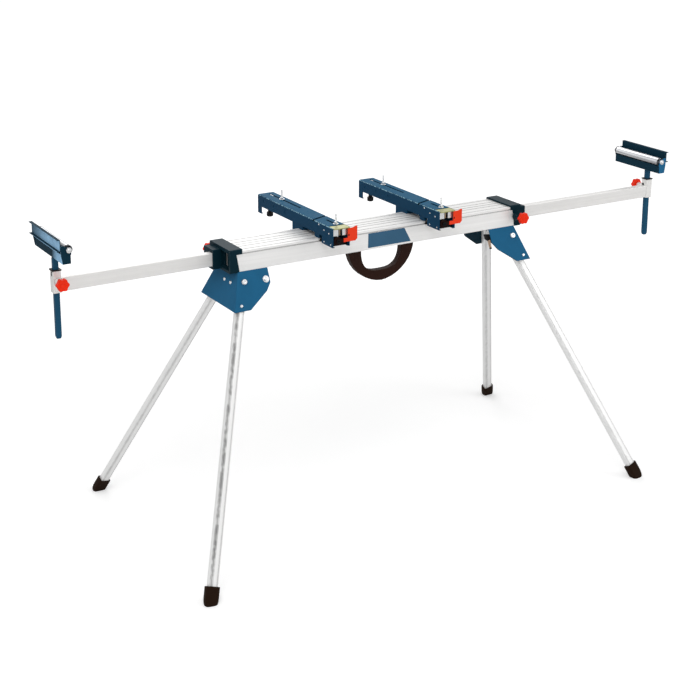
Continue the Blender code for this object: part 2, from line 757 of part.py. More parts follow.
def make_post(side, sign, reach):
    """Square tube with a tapered, closed foot, open under the tray."""
    axis = (sign * reach, -sign * BAR_Y)
    size = POST_SIZE
    inner = POST_SIZE - POST_WALL * 2
    rings = []
    for height, share in ((0, POST_TAPER_SHARE), (POST_TAPER, 1), (TRAY_BOTTOM - GAP - POST_BOTTOM, 1)):
        outline = rounded(size * share, size * share, POST_CORNER * share)
        rings.append([(across, up, height) for across, up in outline])
    place = Matrix.Translation((*axis, POST_BOTTOM))
    post = part(f"{side}_post", loft(rings, place), post_blue, (*axis, POST_BOTTOM))
    bore = rounded(inner, inner, POST_CORNER - POST_WALL)
    cut(post, prism([bore], POST_TAPER + POST_WALL, TRAY_BOTTOM - POST_BOTTOM + OVERRUN, place))


def make_head(side, sign, reach):
    """The tray with its two end ears, the stop channel, the roller and its shaft."""
    axis_x = sign * (reach - ROLLER_INSET)
    axis_y = -sign * BAR_Y + HEAD_OFFSET
    place = placing(X_AXIS * sign, Z_AXIS, Y_AXIS, (axis_x, axis_y, 0))
    low = TRAY_BOTTOM
    channel = [
        (-TRAY_INNER, TRAY_TOP),
        (-TRAY_INNER, low),
        (TRAY_OUTER, low),
        (TRAY_OUTER, TRAY_TOP),
        (TRAY_OUTER - TRAY_WALL, TRAY_TOP),
        (TRAY_OUTER - TRAY_WALL, low + TRAY_WALL),
        (TRAY_WALL - TRAY_INNER, low + TRAY_WALL),
        (TRAY_WALL - TRAY_INNER, TRAY_TOP),
    ]
    tray = part(f"{side}_roller_tray", prism([channel], -HEAD_HALF, HEAD_HALF, place), tray_blue)
    ear_out = STOP_WEB - STOP_SHEET - GAP
    ear = filleted([
        (-TRAY_INNER, low, 0),
        (TRAY_OUTER, low, TRAY_WALL),
        (ear_out, TRAY_TOP, TRAY_WALL),
        (ear_out, ROLLER_Z + EAR_SHOULDER, TRAY_WALL),
        (EAR_SHOULDER, ROLLER_Z + EAR_SHOULDER, TRAY_WALL),
        (EAR_RADIUS, ROLLER_Z + EAR_RADIUS, EAR_RADIUS / 2),
        (-EAR_RADIUS, ROLLER_Z + EAR_RADIUS, EAR_RADIUS - TRAY_WALL),
        (-EAR_RADIUS, TRAY_TOP, TRAY_WALL),
        (-TRAY_INNER, TRAY_TOP - TRAY_WALL, 0),
    ])
    shaft_hole = circle(SHAFT_RADIUS + GAP, (0, ROLLER_Z))
    for end in (-1, 1):
        faces = sorted((end * HEAD_HALF, end * (HEAD_HALF - TRAY_WALL)))
        join(tray, prism([ear, shaft_hole], *faces, place))

    tip = STOP_WEB + STOP_FLANGE
    back = STOP_WEB - STOP_SHEET
    stop = filleted([
        (back, STOP_BOTTOM, STOP_SHEET / 2),
        (tip, STOP_BOTTOM, STOP_EDGE),
        (tip, STOP_BOTTOM + STOP_SHEET, STOP_EDGE),
        (STOP_WEB, STOP_BOTTOM + STOP_SHEET, 0),
        (STOP_WEB, STOP_TOP - STOP_SHEET, 0),
        (tip, STOP_TOP - STOP_SHEET, STOP_EDGE),
        (tip, STOP_TOP, STOP_EDGE),
        (back, STOP_TOP, STOP_SHEET / 2),
    ])
    part(f"{side}_stop_channel", prism([stop], -HEAD_HALF, HEAD_HALF, place), stop_blue)

    spin = placing(Z_AXIS, X_AXIS, Y_AXIS, (axis_x, axis_y, ROLLER_Z))
    half = HEAD_HALF - TRAY_WALL - GAP * 2
    bore = SHAFT_RADIUS + SHAFT_CLEARANCE
    roller = [
        (bore, half),
        (ROLLER_HUB, half),
        (ROLLER_HUB, half - ROLLER_END),
        (ROLLER_RADIUS - ROLLER_RIM, half - ROLLER_END),
        (ROLLER_RADIUS - ROLLER_RIM, half),
        (ROLLER_RADIUS, half - ROLLER_RIM / 2),
    ]
    roller += [(radius, -height) for radius, height in reversed(roller)]
    part(f"{side}_roller", turned(roller, spin, True, ROLLER_STEPS), bright_steel, spin.translation)

    seat = HEAD_HALF + GAP
    shaft = [
        (0, seat + NUT_THICK + SHAFT_END),
        (SHAFT_RADIUS, seat + NUT_THICK + SHAFT_END),
        (SHAFT_RADIUS, seat + NUT_THICK),
        (NUT_RADIUS, seat + NUT_THICK),
        (NUT_RADIUS, seat),
        (SHAFT_RADIUS, seat),
    ]
    shaft += [(radius, -height) for radius, height in reversed(shaft)]
    part(f"{side}_roller_shaft", turned(shaft, spin), bright_steel, spin.translation)


# Leg brackets and legs, drawn on the sloping plate: outward, down the slope, and out of the plate


def plate_place(turn, face):
    """The placing of a sloping plate at the left end: face is -1 at the front and 1 at the rear."""
    outward = Vector((-1, 0, 0))
    down = Vector((0, face * math.sin(PLATE_LEAN), -math.cos(PLATE_LEAN)))
    normal = Vector((0, face * math.cos(PLATE_LEAN), math.sin(PLATE_LEAN)))
    return turn @ placing(outward, down, normal, (0, face * RAIL_SIDE, RAIL_BOTTOM - GAP))


def hood_ring(height, sheet, inboard):
    """The hood's four corners at a height, drawn in by a sheet thickness."""
    fall = RAIL_BOTTOM - GAP - height
    out_lean = math.atan((BRACKET_FOOT_OUT - BRACKET_OUTBOARD) / (BRACKET_DROP * math.cos(PLATE_LEAN)))
    side = RAIL_SIDE + fall * math.tan(PLATE_LEAN) - sheet / math.cos(PLATE_LEAN)
    out = BRACKET_OUTBOARD + fall * math.tan(out_lean) - sheet / math.cos(out_lean)
    corners = ((out, -side), (out, side), (inboard, side), (inboard, -side))
    return [(-outward, across, height) for outward, across in corners]


def make_bracket(side, turn):
    """The folded hood: a top, two sloping side plates and a sloping end plate, open underneath."""
    roof = RAIL_BOTTOM - GAP
    foot = roof - BRACKET_DROP * math.cos(PLATE_LEAN)
    outside = [hood_ring(roof, 0, BRACKET_INBOARD), hood_ring(foot, 0, BRACKET_INBOARD)]
    past = BRACKET_INBOARD - OVERRUN
    inside = [hood_ring(roof - PLATE, PLATE, past), hood_ring(foot - OVERRUN, PLATE, past)]
    bracket = part(f"{side}_leg_bracket", loft(outside, turn), bracket_blue)
    cut(bracket, loft(inside, turn))
    below = BRACKET_DROP + OVERRUN
    waste = filleted([
        (past, below, 0),
        (past, BRACKET_SIDE_DROP, 0),
        (BRACKET_CHIN, BRACKET_CHIN_DROP, BRACKET_CORNER),
        (BRACKET_WAIST, BRACKET_WAIST_DROP, BRACKET_CORNER),
        (BRACKET_FOOT_IN, below, 0),
    ])
    for face in (-1, 1):
        plate = plate_place(turn, face)
        cut(bracket, prism([waste], -PLATE - OVERRUN, OVERRUN, plate))
        for radius, middle in (
            (BOLT_RADIUS, (PIVOT_OUT, PIVOT_DROP, 0)),
            (PIN_RADIUS, (PIN_OUT, PIN_DROP, 0)),
        ):
            cut(bracket, rod(radius + GAP, -PLATE - OVERRUN, OVERRUN, plate @ Matrix.Translation(middle)))


def leg_section(width, thick, corner, grooves):
    """The leg's outline, with fine grooves down its two broad faces when asked."""
    if not grooves:
        return rounded(width, thick, corner)
    middles = [share * width for share in LEG_GROOVE_SHARES]
    half = (width / 2, thick / 2)
    points = []
    for side in (-1, 1):
        start = (side * half[0], side * half[1])
        end = (-side * half[0], side * half[1])
        cut_in = (0, -side)
        line = grooved(start, end, middles, LEG_GROOVE_WIDTH, LEG_GROOVE_DEPTH, cut_in)[1:]
        points.append((side * half[0], side * (half[1] - corner)))
        points.append((side * (half[0] - corner), side * half[1]))
        points += line
        points.append((-side * (half[0] - corner), side * half[1]))
        points.append((-side * half[0], side * (half[1] - corner)))
    return points


def make_leg(side, face_name, turn, face, lane):
    """A leg with its foot and bolts. Lane 0 runs against the plate, lane 1 one leg further in."""
    place = plate_place(turn, face)
    depth = -PLATE - LEG_GAP - LEG_THICK / 2 - lane * LANE_PITCH
    pivot_local = Vector((PIVOT_OUT, PIVOT_DROP, depth))
    pivot = place @ pivot_local
    splay_out = math.sin(LEG_SPLAY)
    splay_down = math.cos(LEG_SPLAY)
    leg_turn = placing((splay_down, -splay_out, 0), (0, 0, 1), (splay_out, splay_down, 0), pivot_local)
    leg_place = place @ leg_turn
    to_ground = pivot.z / (splay_down * math.cos(PLATE_LEAN))
    foot_start = to_ground + FOOT_BELOW - FOOT_HEIGHT
    name = f"{side}_{face_name}"

    walls = [
        leg_section(LEG_WIDTH, LEG_THICK, LEG_CORNER, True),
        leg_section(LEG_WIDTH - LEG_WALL * 2, LEG_THICK - LEG_WALL * 2, LEG_WALL, False),
    ]
    leg_end = foot_start + FOOT_SOCKET - GAP
    leg = part(f"{name}_leg", prism(walls, -LEG_HEAD, leg_end, leg_place), leg_silver, pivot)
    across = place @ Matrix.Translation(pivot_local)
    cut(leg, rod(BOLT_RADIUS + GAP, -LEG_THICK, LEG_THICK, across))

    rings = []
    shares = [0, 1 - FOOT_DOME_SHARE]
    shares += [1 - FOOT_DOME_SHARE * (1 - (step + 1) / FOOT_DOME_RINGS) for step in range(FOOT_DOME_RINGS)]
    for share in shares:
        inside = max(0, (share - (1 - FOOT_DOME_SHARE)) / FOOT_DOME_SHARE)
        size = FOOT_TIP_SHARE + (1 - FOOT_TIP_SHARE) * math.sqrt(1 - inside**3)
        outline = rounded(FOOT_WIDTH * size, FOOT_THICK * size, FOOT_CORNER * size)
        rings.append([(a, b, foot_start + share * FOOT_HEIGHT) for a, b in outline])
    foot = part(f"{name}_foot", loft(rings, leg_place), rubber, pivot)
    socket = rounded(LEG_WIDTH + GAP * 2, LEG_THICK + GAP * 2, LEG_CORNER)
    cut(foot, prism([socket], foot_start - OVERRUN, foot_start + FOOT_SOCKET, leg_place))
    floor_half = Vector((RAIL_LENGTH, RAIL_LENGTH, 0))
    cut(foot, block(-floor_half - Z_AXIS * FOOT_HEIGHT, floor_half))

    make_pivot_bolt(name, place, lane)
    make_lock_pin(name, place, lane)
    if lane == 1:
        make_latch(name, place)


def make_pivot_bolt(name, place, lane):
    """Socket-headed shoulder bolt: head outside the plate, sleeve up to the leg, nut inside."""
    at_bolt = place @ Matrix.Translation((PIVOT_OUT, PIVOT_DROP, 0))
    leg_face = -PLATE - LEG_GAP - lane * LANE_PITCH
    nut_face = leg_face - LEG_THICK - GAP
    profile = [
        (0, GAP + BOLT_HEAD - BOLT_SOCKET_DEPTH),
        (BOLT_SOCKET_RADIUS, GAP + BOLT_HEAD - BOLT_SOCKET_DEPTH),
        (BOLT_SOCKET_RADIUS, GAP + BOLT_HEAD),
        (BOLT_HEAD_RADIUS * BOLT_CROWN_SHARE, GAP + BOLT_HEAD),
        (BOLT_HEAD_RADIUS, GAP + BOLT_HEAD / 2),
        (BOLT_HEAD_RADIUS, GAP),
        (BOLT_RADIUS, GAP),
        (BOLT_RADIUS, -PLATE - GAP),
        (BOLT_SLEEVE_RADIUS, -PLATE - GAP),
        (BOLT_SLEEVE_RADIUS, leg_face + GAP),
        (BOLT_RADIUS, leg_face + GAP),
        (BOLT_RADIUS, nut_face),
        (BOLT_NUT_RADIUS, nut_face),
        (BOLT_NUT_RADIUS, nut_face - BOLT_NUT),
        (0, nut_face - BOLT_NUT),
    ]
    part(f"{name}_pivot_bolt", turned(profile, at_bolt), bright_steel, at_bolt.translation)


def make_lock_pin(name, place, lane):
    """Spring pin through the plate, whose tip stops just short of the leg."""
    at_pin = place @ Matrix.Translation((PIN_OUT, PIN_DROP, 0))
    tip = -PLATE - LEG_GAP - lane * LANE_PITCH + GAP
    profile = [
        (0, GAP + PIN_HEAD),
        (PIN_HEAD_RADIUS * PIN_CROWN_SHARE, GAP + PIN_HEAD),
        (PIN_HEAD_RADIUS, GAP + PIN_HEAD / 2),
        (PIN_HEAD_RADIUS, GAP),
        (PIN_RADIUS, GAP),
        (PIN_RADIUS, tip),
        (0, tip),
    ]
    part(f"{name}_lock_pin", turned(profile, at_pin), bright_steel, at_pin.translation)


def make_latch(name, place):
    """The black catch in the free lane: a flat lever with a finger tab, on a pin against the plate."""
    at_pin = place @ Matrix.Translation((LATCH_PIN_OUT, LATCH_PIN_DROP, 0))
    tab = LATCH_PIN_RADIUS * 2
    lever = filleted([
        (-LATCH_TAB, -LATCH_HEIGHT, LATCH_CORNER / 2),
        (LATCH_HOOK, -tab, LATCH_CORNER / 2),
        (LATCH_HOOK, tab, LATCH_CORNER),
        (-tab, LATCH_HEIGHT, LATCH_CORNER),
        (-LATCH_TAB, 0, LATCH_CORNER),
    ])
    low = -PLATE - LATCH_DEPTH
    latch = part(
        f"{name}_latch", prism([lever], low - LATCH_SHEET, low, at_pin), black_plastic, at_pin.translation
    )
    join(latch, rod(LATCH_PIN_RADIUS, low - LATCH_SHEET * 2, -PLATE - GAP, at_pin))


# Carrying handle


def half_superellipse(wide, bottom, power):
    """The lower half of a superellipse hung from the rail, from its left end to its right end."""
    top = RAIL_BOTTOM - GAP
    points = []
    for step in range(HANDLE_POINTS + 1):
        angle = math.pi * (1 + step / HANDLE_POINTS)
        across = math.copysign(abs(math.cos(angle)) ** (2 / power), math.cos(angle))
        down = abs(math.sin(angle)) ** (2 / power)
        points.append((HANDLE_MIDDLE + wide * across, top - (top - bottom) * down))
    return points


def make_handle():
    """The D-shaped grip, rounded along its edges."""
    outer = half_superellipse(HANDLE_HALF, HANDLE_BOTTOM, HANDLE_ROUND)
    inner = half_superellipse(GRIP_HALF, GRIP_BOTTOM, GRIP_ROUND)
    outline = outer + list(reversed(inner))
    handle = part(
        "handle", prism([outline], -HANDLE_FRONT, HANDLE_THICK - HANDLE_FRONT, ALONG_Y), handle_brown
    )
    bevel = handle.modifiers.new("soft_edges", "BEVEL")
    bevel.width = HANDLE_BEVEL
    bevel.segments = 2
    bevel.angle_limit = SOFT_ANGLE


# Saw arms


def make_arm(side, arm_x):
    """The inverted channel: its slots, windows and notch, the saddles on the rail, and the hook."""
    half = ARM_WIDTH / 2
    place = placing(X_AXIS, Z_AXIS, Y_AXIS, (arm_x, 0, 0))
    inner_corner = ARM_CORNER - ARM_SHEET
    section = filleted([
        (-half, ARM_SKIRT, 0),
        (-half, ARM_TOP, ARM_CORNER),
        (half, ARM_TOP, ARM_CORNER),
        (half, ARM_SKIRT, 0),
        (half - LIP_WIDTH, ARM_SKIRT, 0),
        (half - LIP_WIDTH, ARM_SKIRT + ARM_SHEET / 2, 0),
        (half - ARM_SHEET, ARM_SKIRT + ARM_SHEET / 2, 0),
        (half - ARM_SHEET, ARM_TOP - ARM_SHEET, inner_corner),
        (ARM_SHEET - half, ARM_TOP - ARM_SHEET, inner_corner),
        (ARM_SHEET - half, ARM_SKIRT + ARM_SHEET / 2, 0),
        (LIP_WIDTH - half, ARM_SKIRT + ARM_SHEET / 2, 0),
        (LIP_WIDTH - half, ARM_SKIRT, 0),
    ])
    arm = part(f"{side}_arm", prism([section], ARM_FRONT, ARM_REAR, place), arm_blue, (arm_x, 0, RAIL_TOP))
    reach = half + OVERRUN
    low = ARM_SKIRT - OVERRUN
    cut(arm, block((-reach, low, ARM_STEP_Y), (reach, ARM_WALL_BOTTOM, ARM_TAIL_Y), place))
    roof = ARM_TOP - ARM_SHEET
    above = ARM_TOP + OVERRUN
    inside = half - ARM_SHEET
    cut(arm, block((-inside, roof - OVERRUN, ARM_FRONT - OVERRUN), (inside, above, ARM_TOP_FRONT), place))
    for start, end in ((REAR_SLOT_START, REAR_SLOT_END), (FRONT_SLOT_START, FRONT_SLOT_END)):
        middle = (arm_x + SLOT_OFFSET, (start + end) / 2)
        slot = rounded(SLOT_WIDTH, end - start, SLOT_WIDTH / 2 - WELD, middle)
        cut(arm, prism([slot], roof - OVERRUN, above, ALONG_Z))
    notch_place = place @ Matrix.Translation((0, ARM_TOP, NOTCH_Y)) @ Matrix.Rotation(-NOTCH_SLANT, 4, "Y")
    notch = (half / math.cos(NOTCH_SLANT) + OVERRUN, NOTCH_DEPTH, NOTCH_WIDTH / 2)
    cut(arm, block((-notch[0], -notch[1], -notch[2]), (notch[0], OVERRUN, notch[2]), notch_place))
    for window_y in WINDOW_PLACES:
        near = (-reach, WINDOW_Z - WINDOW_HEIGHT / 2, window_y - WINDOW_WIDTH / 2)
        far = (reach, WINDOW_Z + WINDOW_HEIGHT / 2, window_y + WINDOW_WIDTH / 2)
        cut(arm, block(near, far, place))

    seat = RAIL_TOP + GAP
    wall_mid = half - ARM_SHEET / 2
    behind = RAIL_SIDE + GAP
    groove_mid = RAIL_TOP - HOOK_GROOVE_DROP - HOOK_GROOVE_HEIGHT / 2
    lip_half = HOOK_GROOVE_HEIGHT / 2 - GAP
    rear_saddle = [
        (RAIL_SIDE - SADDLE_LENGTH, seat),
        (behind, seat),
        (behind, groove_mid + lip_half),
        (RAIL_SIDE - HOOK_LIP, groove_mid + lip_half),
        (RAIL_SIDE - HOOK_LIP, groove_mid - lip_half),
        (behind, groove_mid - lip_half),
        (behind, groove_mid - HOOK_DROP),
        (behind + HOOK_DEPTH, groove_mid - HOOK_DROP / 2),
        (behind + HOOK_DEPTH, seat + SADDLE_HEIGHT),
        (RAIL_SIDE - SADDLE_LENGTH, seat + SADDLE_HEIGHT),
    ]
    join(arm, prism([rear_saddle], arm_x - wall_mid, arm_x + wall_mid, ALONG_X))
    for wall in (-1, 1):
        across = sorted((wall * wall_mid, wall * (inside - FRONT_SADDLE_WIDTH)))
        near = (across[0], seat, -RAIL_SIDE)
        far = (across[1], seat + SADDLE_HEIGHT, SADDLE_LENGTH - RAIL_SIDE)
        join(arm, block(near, far, place))

    pivot_x = LEVER_PIVOT
    lug_low = ARM_SKIRT + ARM_SHEET / 2 + JAW_HEIGHT + GAP * 2
    join(arm, block((-wall_mid, lug_low, LUG_Y - LUG_THICK), (LUG_WIDTH - half, LUG_TOP, LUG_Y), place))
    lug_place = place @ Matrix.Translation((pivot_x, LEVER_PIVOT_Z, 0))
    lug_front = LUG_Y - LUG_THICK - OVERRUN
    cut(arm, rod(LEVER_PIN_RADIUS + GAP, lug_front, LUG_Y + OVERRUN, lug_place))
    plate_near = NUT_PLATE_Y - NUT_PLATE_LENGTH / 2
    plate_far = NUT_PLATE_Y + NUT_PLATE_LENGTH / 2
    plate_top = NUT_PLATE_BOTTOM + NUT_PLATE_THICK
    join(arm, block((-wall_mid, NUT_PLATE_BOTTOM, plate_near), (wall_mid, plate_top, plate_far), place))
    stud = Matrix.Translation((arm_x, NUT_PLATE_Y, 0))
    cut(arm, rod(REAR_STUD_RADIUS + GAP, NUT_PLATE_BOTTOM - OVERRUN, plate_top + OVERRUN, stud))


def make_clamp(side, arm_x):
    """The jaw with its tongue at the rail's groove, the lever, and the zinc plate with its pillar."""
    half = ARM_WIDTH / 2
    place = placing(X_AXIS, Z_AXIS, Y_AXIS, (arm_x, 0, 0))
    inside = half - ARM_SHEET - GAP
    bed = ARM_SKIRT + ARM_SHEET / 2 + GAP
    groove_mid = RAIL_TOP - HOOK_GROOVE_DROP - HOOK_GROOVE_HEIGHT / 2
    lip_half = HOOK_GROOVE_HEIGHT / 2 - GAP
    front_face = -RAIL_SIDE - GAP
    jaw = [
        (JAW_FRONT, bed),
        (front_face - HOOK_LIP, bed),
        (front_face - HOOK_LIP, groove_mid - lip_half),
        (front_face, groove_mid - lip_half),
        (front_face, groove_mid + lip_half),
        (front_face - HOOK_LIP, groove_mid + lip_half),
        (front_face - HOOK_LIP, bed + JAW_HEIGHT - GAP),
        (JAW_FRONT, bed + JAW_HEIGHT - GAP),
    ]
    part(f"{side}_clamp_jaw", prism([jaw], arm_x - inside, arm_x + inside, ALONG_X), black_steel)

    lever_front = ARM_FRONT - GAP - LEVER_THICK
    arm_top = LEVER_BOTTOM + LEVER_ARM_HEIGHT
    outline = filleted([
        (LEVER_PIVOT - LEVER_PIN_RADIUS, LEVER_BOTTOM, LEVER_CORNER),
        (LEVER_RIGHT - LEVER_CORNER * 2, LEVER_BOTTOM, 0),
        (LEVER_RIGHT, LEVER_BOTTOM + LEVER_CORNER * 2, LEVER_CORNER),
        (LEVER_RIGHT, LEVER_TOP + LEVER_LIP_RISE, LEVER_CORNER / 2),
        (LEVER_LIP_LEFT, LEVER_TOP, 0),
        (LEVER_LEFT, LEVER_TOP, LEVER_EDGE),
        (LEVER_LEFT, arm_top, LEVER_EDGE),
        (LEVER_PIVOT - LEVER_PIN_RADIUS, arm_top, LEVER_CORNER),
    ])
    pivot = (arm_x + LEVER_PIVOT, ARM_FRONT, LEVER_PIVOT_Z)
    lever = part(
        f"{side}_clamp_lever", prism([outline], lever_front, ARM_FRONT - GAP, place), lever_red, pivot
    )
    hub = placing(X_AXIS, Z_AXIS, Y_AXIS, (pivot[0], 0, pivot[2]))
    join(lever, rod(LEVER_HUB_RADIUS, ARM_FRONT - LEVER_THICK / 2, ARM_FRONT + LEVER_HUB, hub))
    join(lever, rod(LEVER_PIN_RADIUS, ARM_FRONT, LUG_Y - GAP, hub))

    zinc_low = ZINC_TOP - ZINC_THICK
    zinc = part(
        f"{side}_clamp_plate",
        block((-inside, zinc_low, ZINC_FRONT), (inside, ZINC_TOP, ARM_TOP_FRONT - GAP), place),
        zinc_yellow,
    )
    pillar = Matrix.Translation((arm_x + PILLAR_X, PILLAR_Y, 0))
    join(zinc, rod(PILLAR_RADIUS, LUG_TOP + GAP, ZINC_TOP - ZINC_THICK / 2, pillar))


def make_mount_bolt(name, arm_x, bolt_y):
    """A stud that slides in an arm's slot: a head under the plate, a washer and a nut above."""
    place = Matrix.Translation((arm_x + SLOT_OFFSET, bolt_y, 0))
    under = ARM_TOP - ARM_SHEET - GAP
    washer = ARM_TOP + GAP
    nut = washer + MOUNT_WASHER
    profile = [
        (0, MOUNT_BOLT_TOP),
        (MOUNT_BOLT_RADIUS, MOUNT_BOLT_TOP),
        (MOUNT_BOLT_RADIUS, nut + MOUNT_NUT),
        (MOUNT_NUT_RADIUS, nut + MOUNT_NUT),
        (MOUNT_NUT_RADIUS, nut),
        (MOUNT_WASHER_RADIUS, nut),
        (MOUNT_WASHER_RADIUS, washer),
        (MOUNT_BOLT_RADIUS, washer),
        (MOUNT_BOLT_RADIUS, under),
        (MOUNT_HEAD_RADIUS, under),
        (MOUNT_HEAD_RADIUS, under - MOUNT_HEAD),
        (0, under - MOUNT_HEAD),
    ]
    part(name, turned(profile, place), bright_steel, place.translation + Z_AXIS * ARM_TOP)


def make_rear_knob(side, arm_x):
    """The black knob under the arm's rear end, its stud held in the nut plate."""
    place = Matrix.Translation((arm_x, NUT_PLATE_Y, 0))
    grip = REAR_KNOB_RADIUS
    neck = grip * REAR_KNOB_NECK_SHARE
    edge = grip * REAR_KNOB_ROUND_SHARE
    collar = NUT_PLATE_BOTTOM - GAP
    profile = [
        (0, REAR_STUD_TOP),
        (REAR_STUD_RADIUS, REAR_STUD_TOP),
        (REAR_STUD_RADIUS, collar),
        (neck, collar),
        (neck, REAR_KNOB_TOP),
        (grip, REAR_KNOB_TOP),
        (grip, REAR_KNOB_BOTTOM + edge),
        (grip - edge, REAR_KNOB_BOTTOM),
        (0, REAR_KNOB_BOTTOM),
    ]
    axis_point = place.translation + Z_AXIS * REAR_KNOB_TOP
    part(f"{side}_rear_knob", turned(profile, place), black_plastic, axis_point)


clear_scene()
parts = new_collection("miter_saw_stand")
cutters = new_collection("cutters")
cutters.hide_render = True
stand = bpy.data.objects.new("stand", None)
stand.location = X_AXIS * CENTRE_SHIFT
parts.objects.link(stand)

aluminium = finish("anodised_aluminium", (0.86, 0.86, 0.85), 0.38, 0.85)
bar_grey = finish("bar_aluminium", (0.72, 0.71, 0.69), 0.42, 0.85)
leg_silver = finish("leg_aluminium", (0.84, 0.84, 0.84), 0.40, 0.85)
bright_steel = finish("zinc_plated_steel", (0.78, 0.79, 0.80), 0.28, 1.0)
black_steel = finish("black_steel", (0.03, 0.03, 0.03), 0.5, 0.6)
zinc_yellow = finish("yellow_zinc", (0.72, 0.70, 0.42), 0.35, 0.9)
cap_blue = finish("cap_blue", (0.012, 0.050, 0.085), 0.45, 0.0)
bracket_blue = finish("bracket_blue", (0.030, 0.140, 0.280), 0.42, 0.0)
post_blue = finish("post_blue", (0.015, 0.070, 0.140), 0.40, 0.0)
tray_blue = finish("tray_blue", (0.040, 0.170, 0.330), 0.40, 0.0)
stop_blue = finish("stop_blue", (0.012, 0.060, 0.110), 0.40, 0.0)
arm_blue = finish("arm_blue", (0.015, 0.070, 0.130), 0.42, 0.0)
knob_red = finish("knob_red", (0.800, 0.030, 0.012), 0.40, 0.0)
lever_red = finish("lever_red", (0.880, 0.080, 0.040), 0.40, 0.0)
black_plastic = finish("black_plastic", (0.015, 0.015, 0.015), 0.5, 0.0)
rubber = finish("rubber", (0.030, 0.018, 0.012), 0.75, 0.0)
handle_brown = finish("handle_grip", (0.040, 0.022, 0.012), 0.60, 0.0)

make_rail()
make_handle()
for end, end_turn, end_sign, end_reach, arm_place in (
    ("left", Matrix.Identity(4), -1, LEFT_REACH, LEFT_ARM_X),
    ("right", HALF_TURN, 1, RIGHT_REACH, RIGHT_ARM_X),
):
    make_end_cap(end, end_turn)
    bar_clamp = end_turn @ placing(X_AXIS, Z_AXIS, Y_AXIS, (-CLAMP_X, 0, CLAMP_Z))
    make_star_knob(f"{end}_bar_knob", bar_clamp, CLAMP_BOSS_END, BAR_Y + BAR_WIDTH / 2)
    make_extension(end, end_turn, end_reach)
    make_post(end, end_sign, end_reach)
    make_head(end, end_sign, end_reach)
    make_bracket(end, end_turn)
    for plate_face in (-1, 1):
        facing = "front" if plate_face == end_sign else "rear"
        make_leg(end, facing, end_turn, plate_face, max(plate_face, 0))
    make_arm(end, arm_place)
    make_clamp(end, arm_place)
    make_mount_bolt(f"{end}_front_bolt", arm_place, FRONT_BOLT_Y)
    make_mount_bolt(f"{end}_rear_bolt", arm_place, REAR_BOLT_Y)
    make_rear_knob(end, arm_place)
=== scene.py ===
# %% [markdown]
# # A folding miter saw stand, dressed
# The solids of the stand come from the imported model: rail, legs, bars, roller heads and saw arms.
# This script gives them their finishes, adds the small hardware that is too fine for the solids,
# and sets up the camera and a plain studio. Lengths are in metres, X along the rail, Z up.

import math

import bpy
import numpy as np
from mathutils import Matrix, Vector


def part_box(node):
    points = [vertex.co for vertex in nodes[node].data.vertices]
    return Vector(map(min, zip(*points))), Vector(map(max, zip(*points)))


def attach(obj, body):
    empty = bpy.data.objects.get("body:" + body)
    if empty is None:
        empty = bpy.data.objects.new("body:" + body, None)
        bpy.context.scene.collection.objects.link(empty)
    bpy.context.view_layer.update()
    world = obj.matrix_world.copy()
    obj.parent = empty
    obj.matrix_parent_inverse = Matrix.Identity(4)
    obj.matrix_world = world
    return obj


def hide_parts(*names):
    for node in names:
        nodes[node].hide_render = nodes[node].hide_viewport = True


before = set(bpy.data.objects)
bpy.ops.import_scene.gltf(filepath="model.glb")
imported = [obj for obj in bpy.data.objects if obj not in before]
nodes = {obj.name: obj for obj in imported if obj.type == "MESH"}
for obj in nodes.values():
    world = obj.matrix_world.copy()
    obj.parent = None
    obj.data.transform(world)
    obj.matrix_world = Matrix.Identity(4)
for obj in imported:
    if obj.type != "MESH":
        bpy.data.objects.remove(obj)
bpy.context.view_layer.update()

# %% [markdown]
# ## Camera
# The photograph looks down at the stand from its left front, with a long lens. The camera's place
# was solved from the rail's corners and the four feet. The posts stay nearly upright in the picture,
# as with a lens that is shifted down: a part of that shift is kept here, and the rest is left out so
# that other views still frame the stand.


# %% Camera at the photograph's angle
def new_object(name, data):
    """An object of its data, linked to the scene."""
    obj = bpy.data.objects.new(name, data)
    bpy.context.scene.collection.objects.link(obj)
    return obj


camera_data = bpy.data.cameras.new("camera")
camera_data.lens = 76.61
camera_data.sensor_width = 36.0
camera_data.shift_y = -0.2026
camera_data.clip_end = 60.0
camera = new_object("camera", camera_data)
camera.location = (-2.3639, -3.7192, 2.0852)
camera.rotation_euler = (math.radians(75.0), math.radians(-0.194), math.radians(-31.014))
bpy.context.scene.camera = camera
print("camera at", tuple(round(value, 3) for value in camera.location))

# %% [markdown]
# ## Surfaces from numbers
# New pieces are grids of points worked out as whole arrays: rows run along the piece, and columns
# run round it. One helper makes a mesh of such a grid.


# %% Grid to mesh
SHARP_EDGE = math.radians(32)


def surface(name, grid, capped=True):
    """A mesh from a (rows, columns, 3) grid: quads (i, j), (i, j+1), (i+1, j+1), (i+1, j), whose last
    column joins the first, and at each end a fan to its middle."""
    rows, columns, _ = grid.shape
    points = grid.reshape(-1, 3)
    ring, start = np.arange(columns), columns * np.arange(rows - 1)[:, None]
    after = np.roll(ring, -1)
    quads = np.stack([start + ring, start + after, start + columns + after, start + columns + ring], axis=-1)
    faces = quads.reshape(-1, 4).tolist()
    if capped:
        middle, last = np.full(columns, len(points)), columns * (rows - 1)
        points = np.concatenate([points, [grid[0].mean(axis=0), grid[-1].mean(axis=0)]])
        faces += np.stack([after, ring, middle], axis=-1).tolist()
        faces += np.stack([last + ring, last + after, middle + 1], axis=-1).tolist()
    mesh = bpy.data.meshes.new(name)
    mesh.from_pydata(points.tolist(), [], faces)
    mesh.update()
    mesh.shade_smooth()
    mesh.set_sharp_from_angle(angle=SHARP_EDGE)
    return new_object(name, mesh)


print("surface ready")

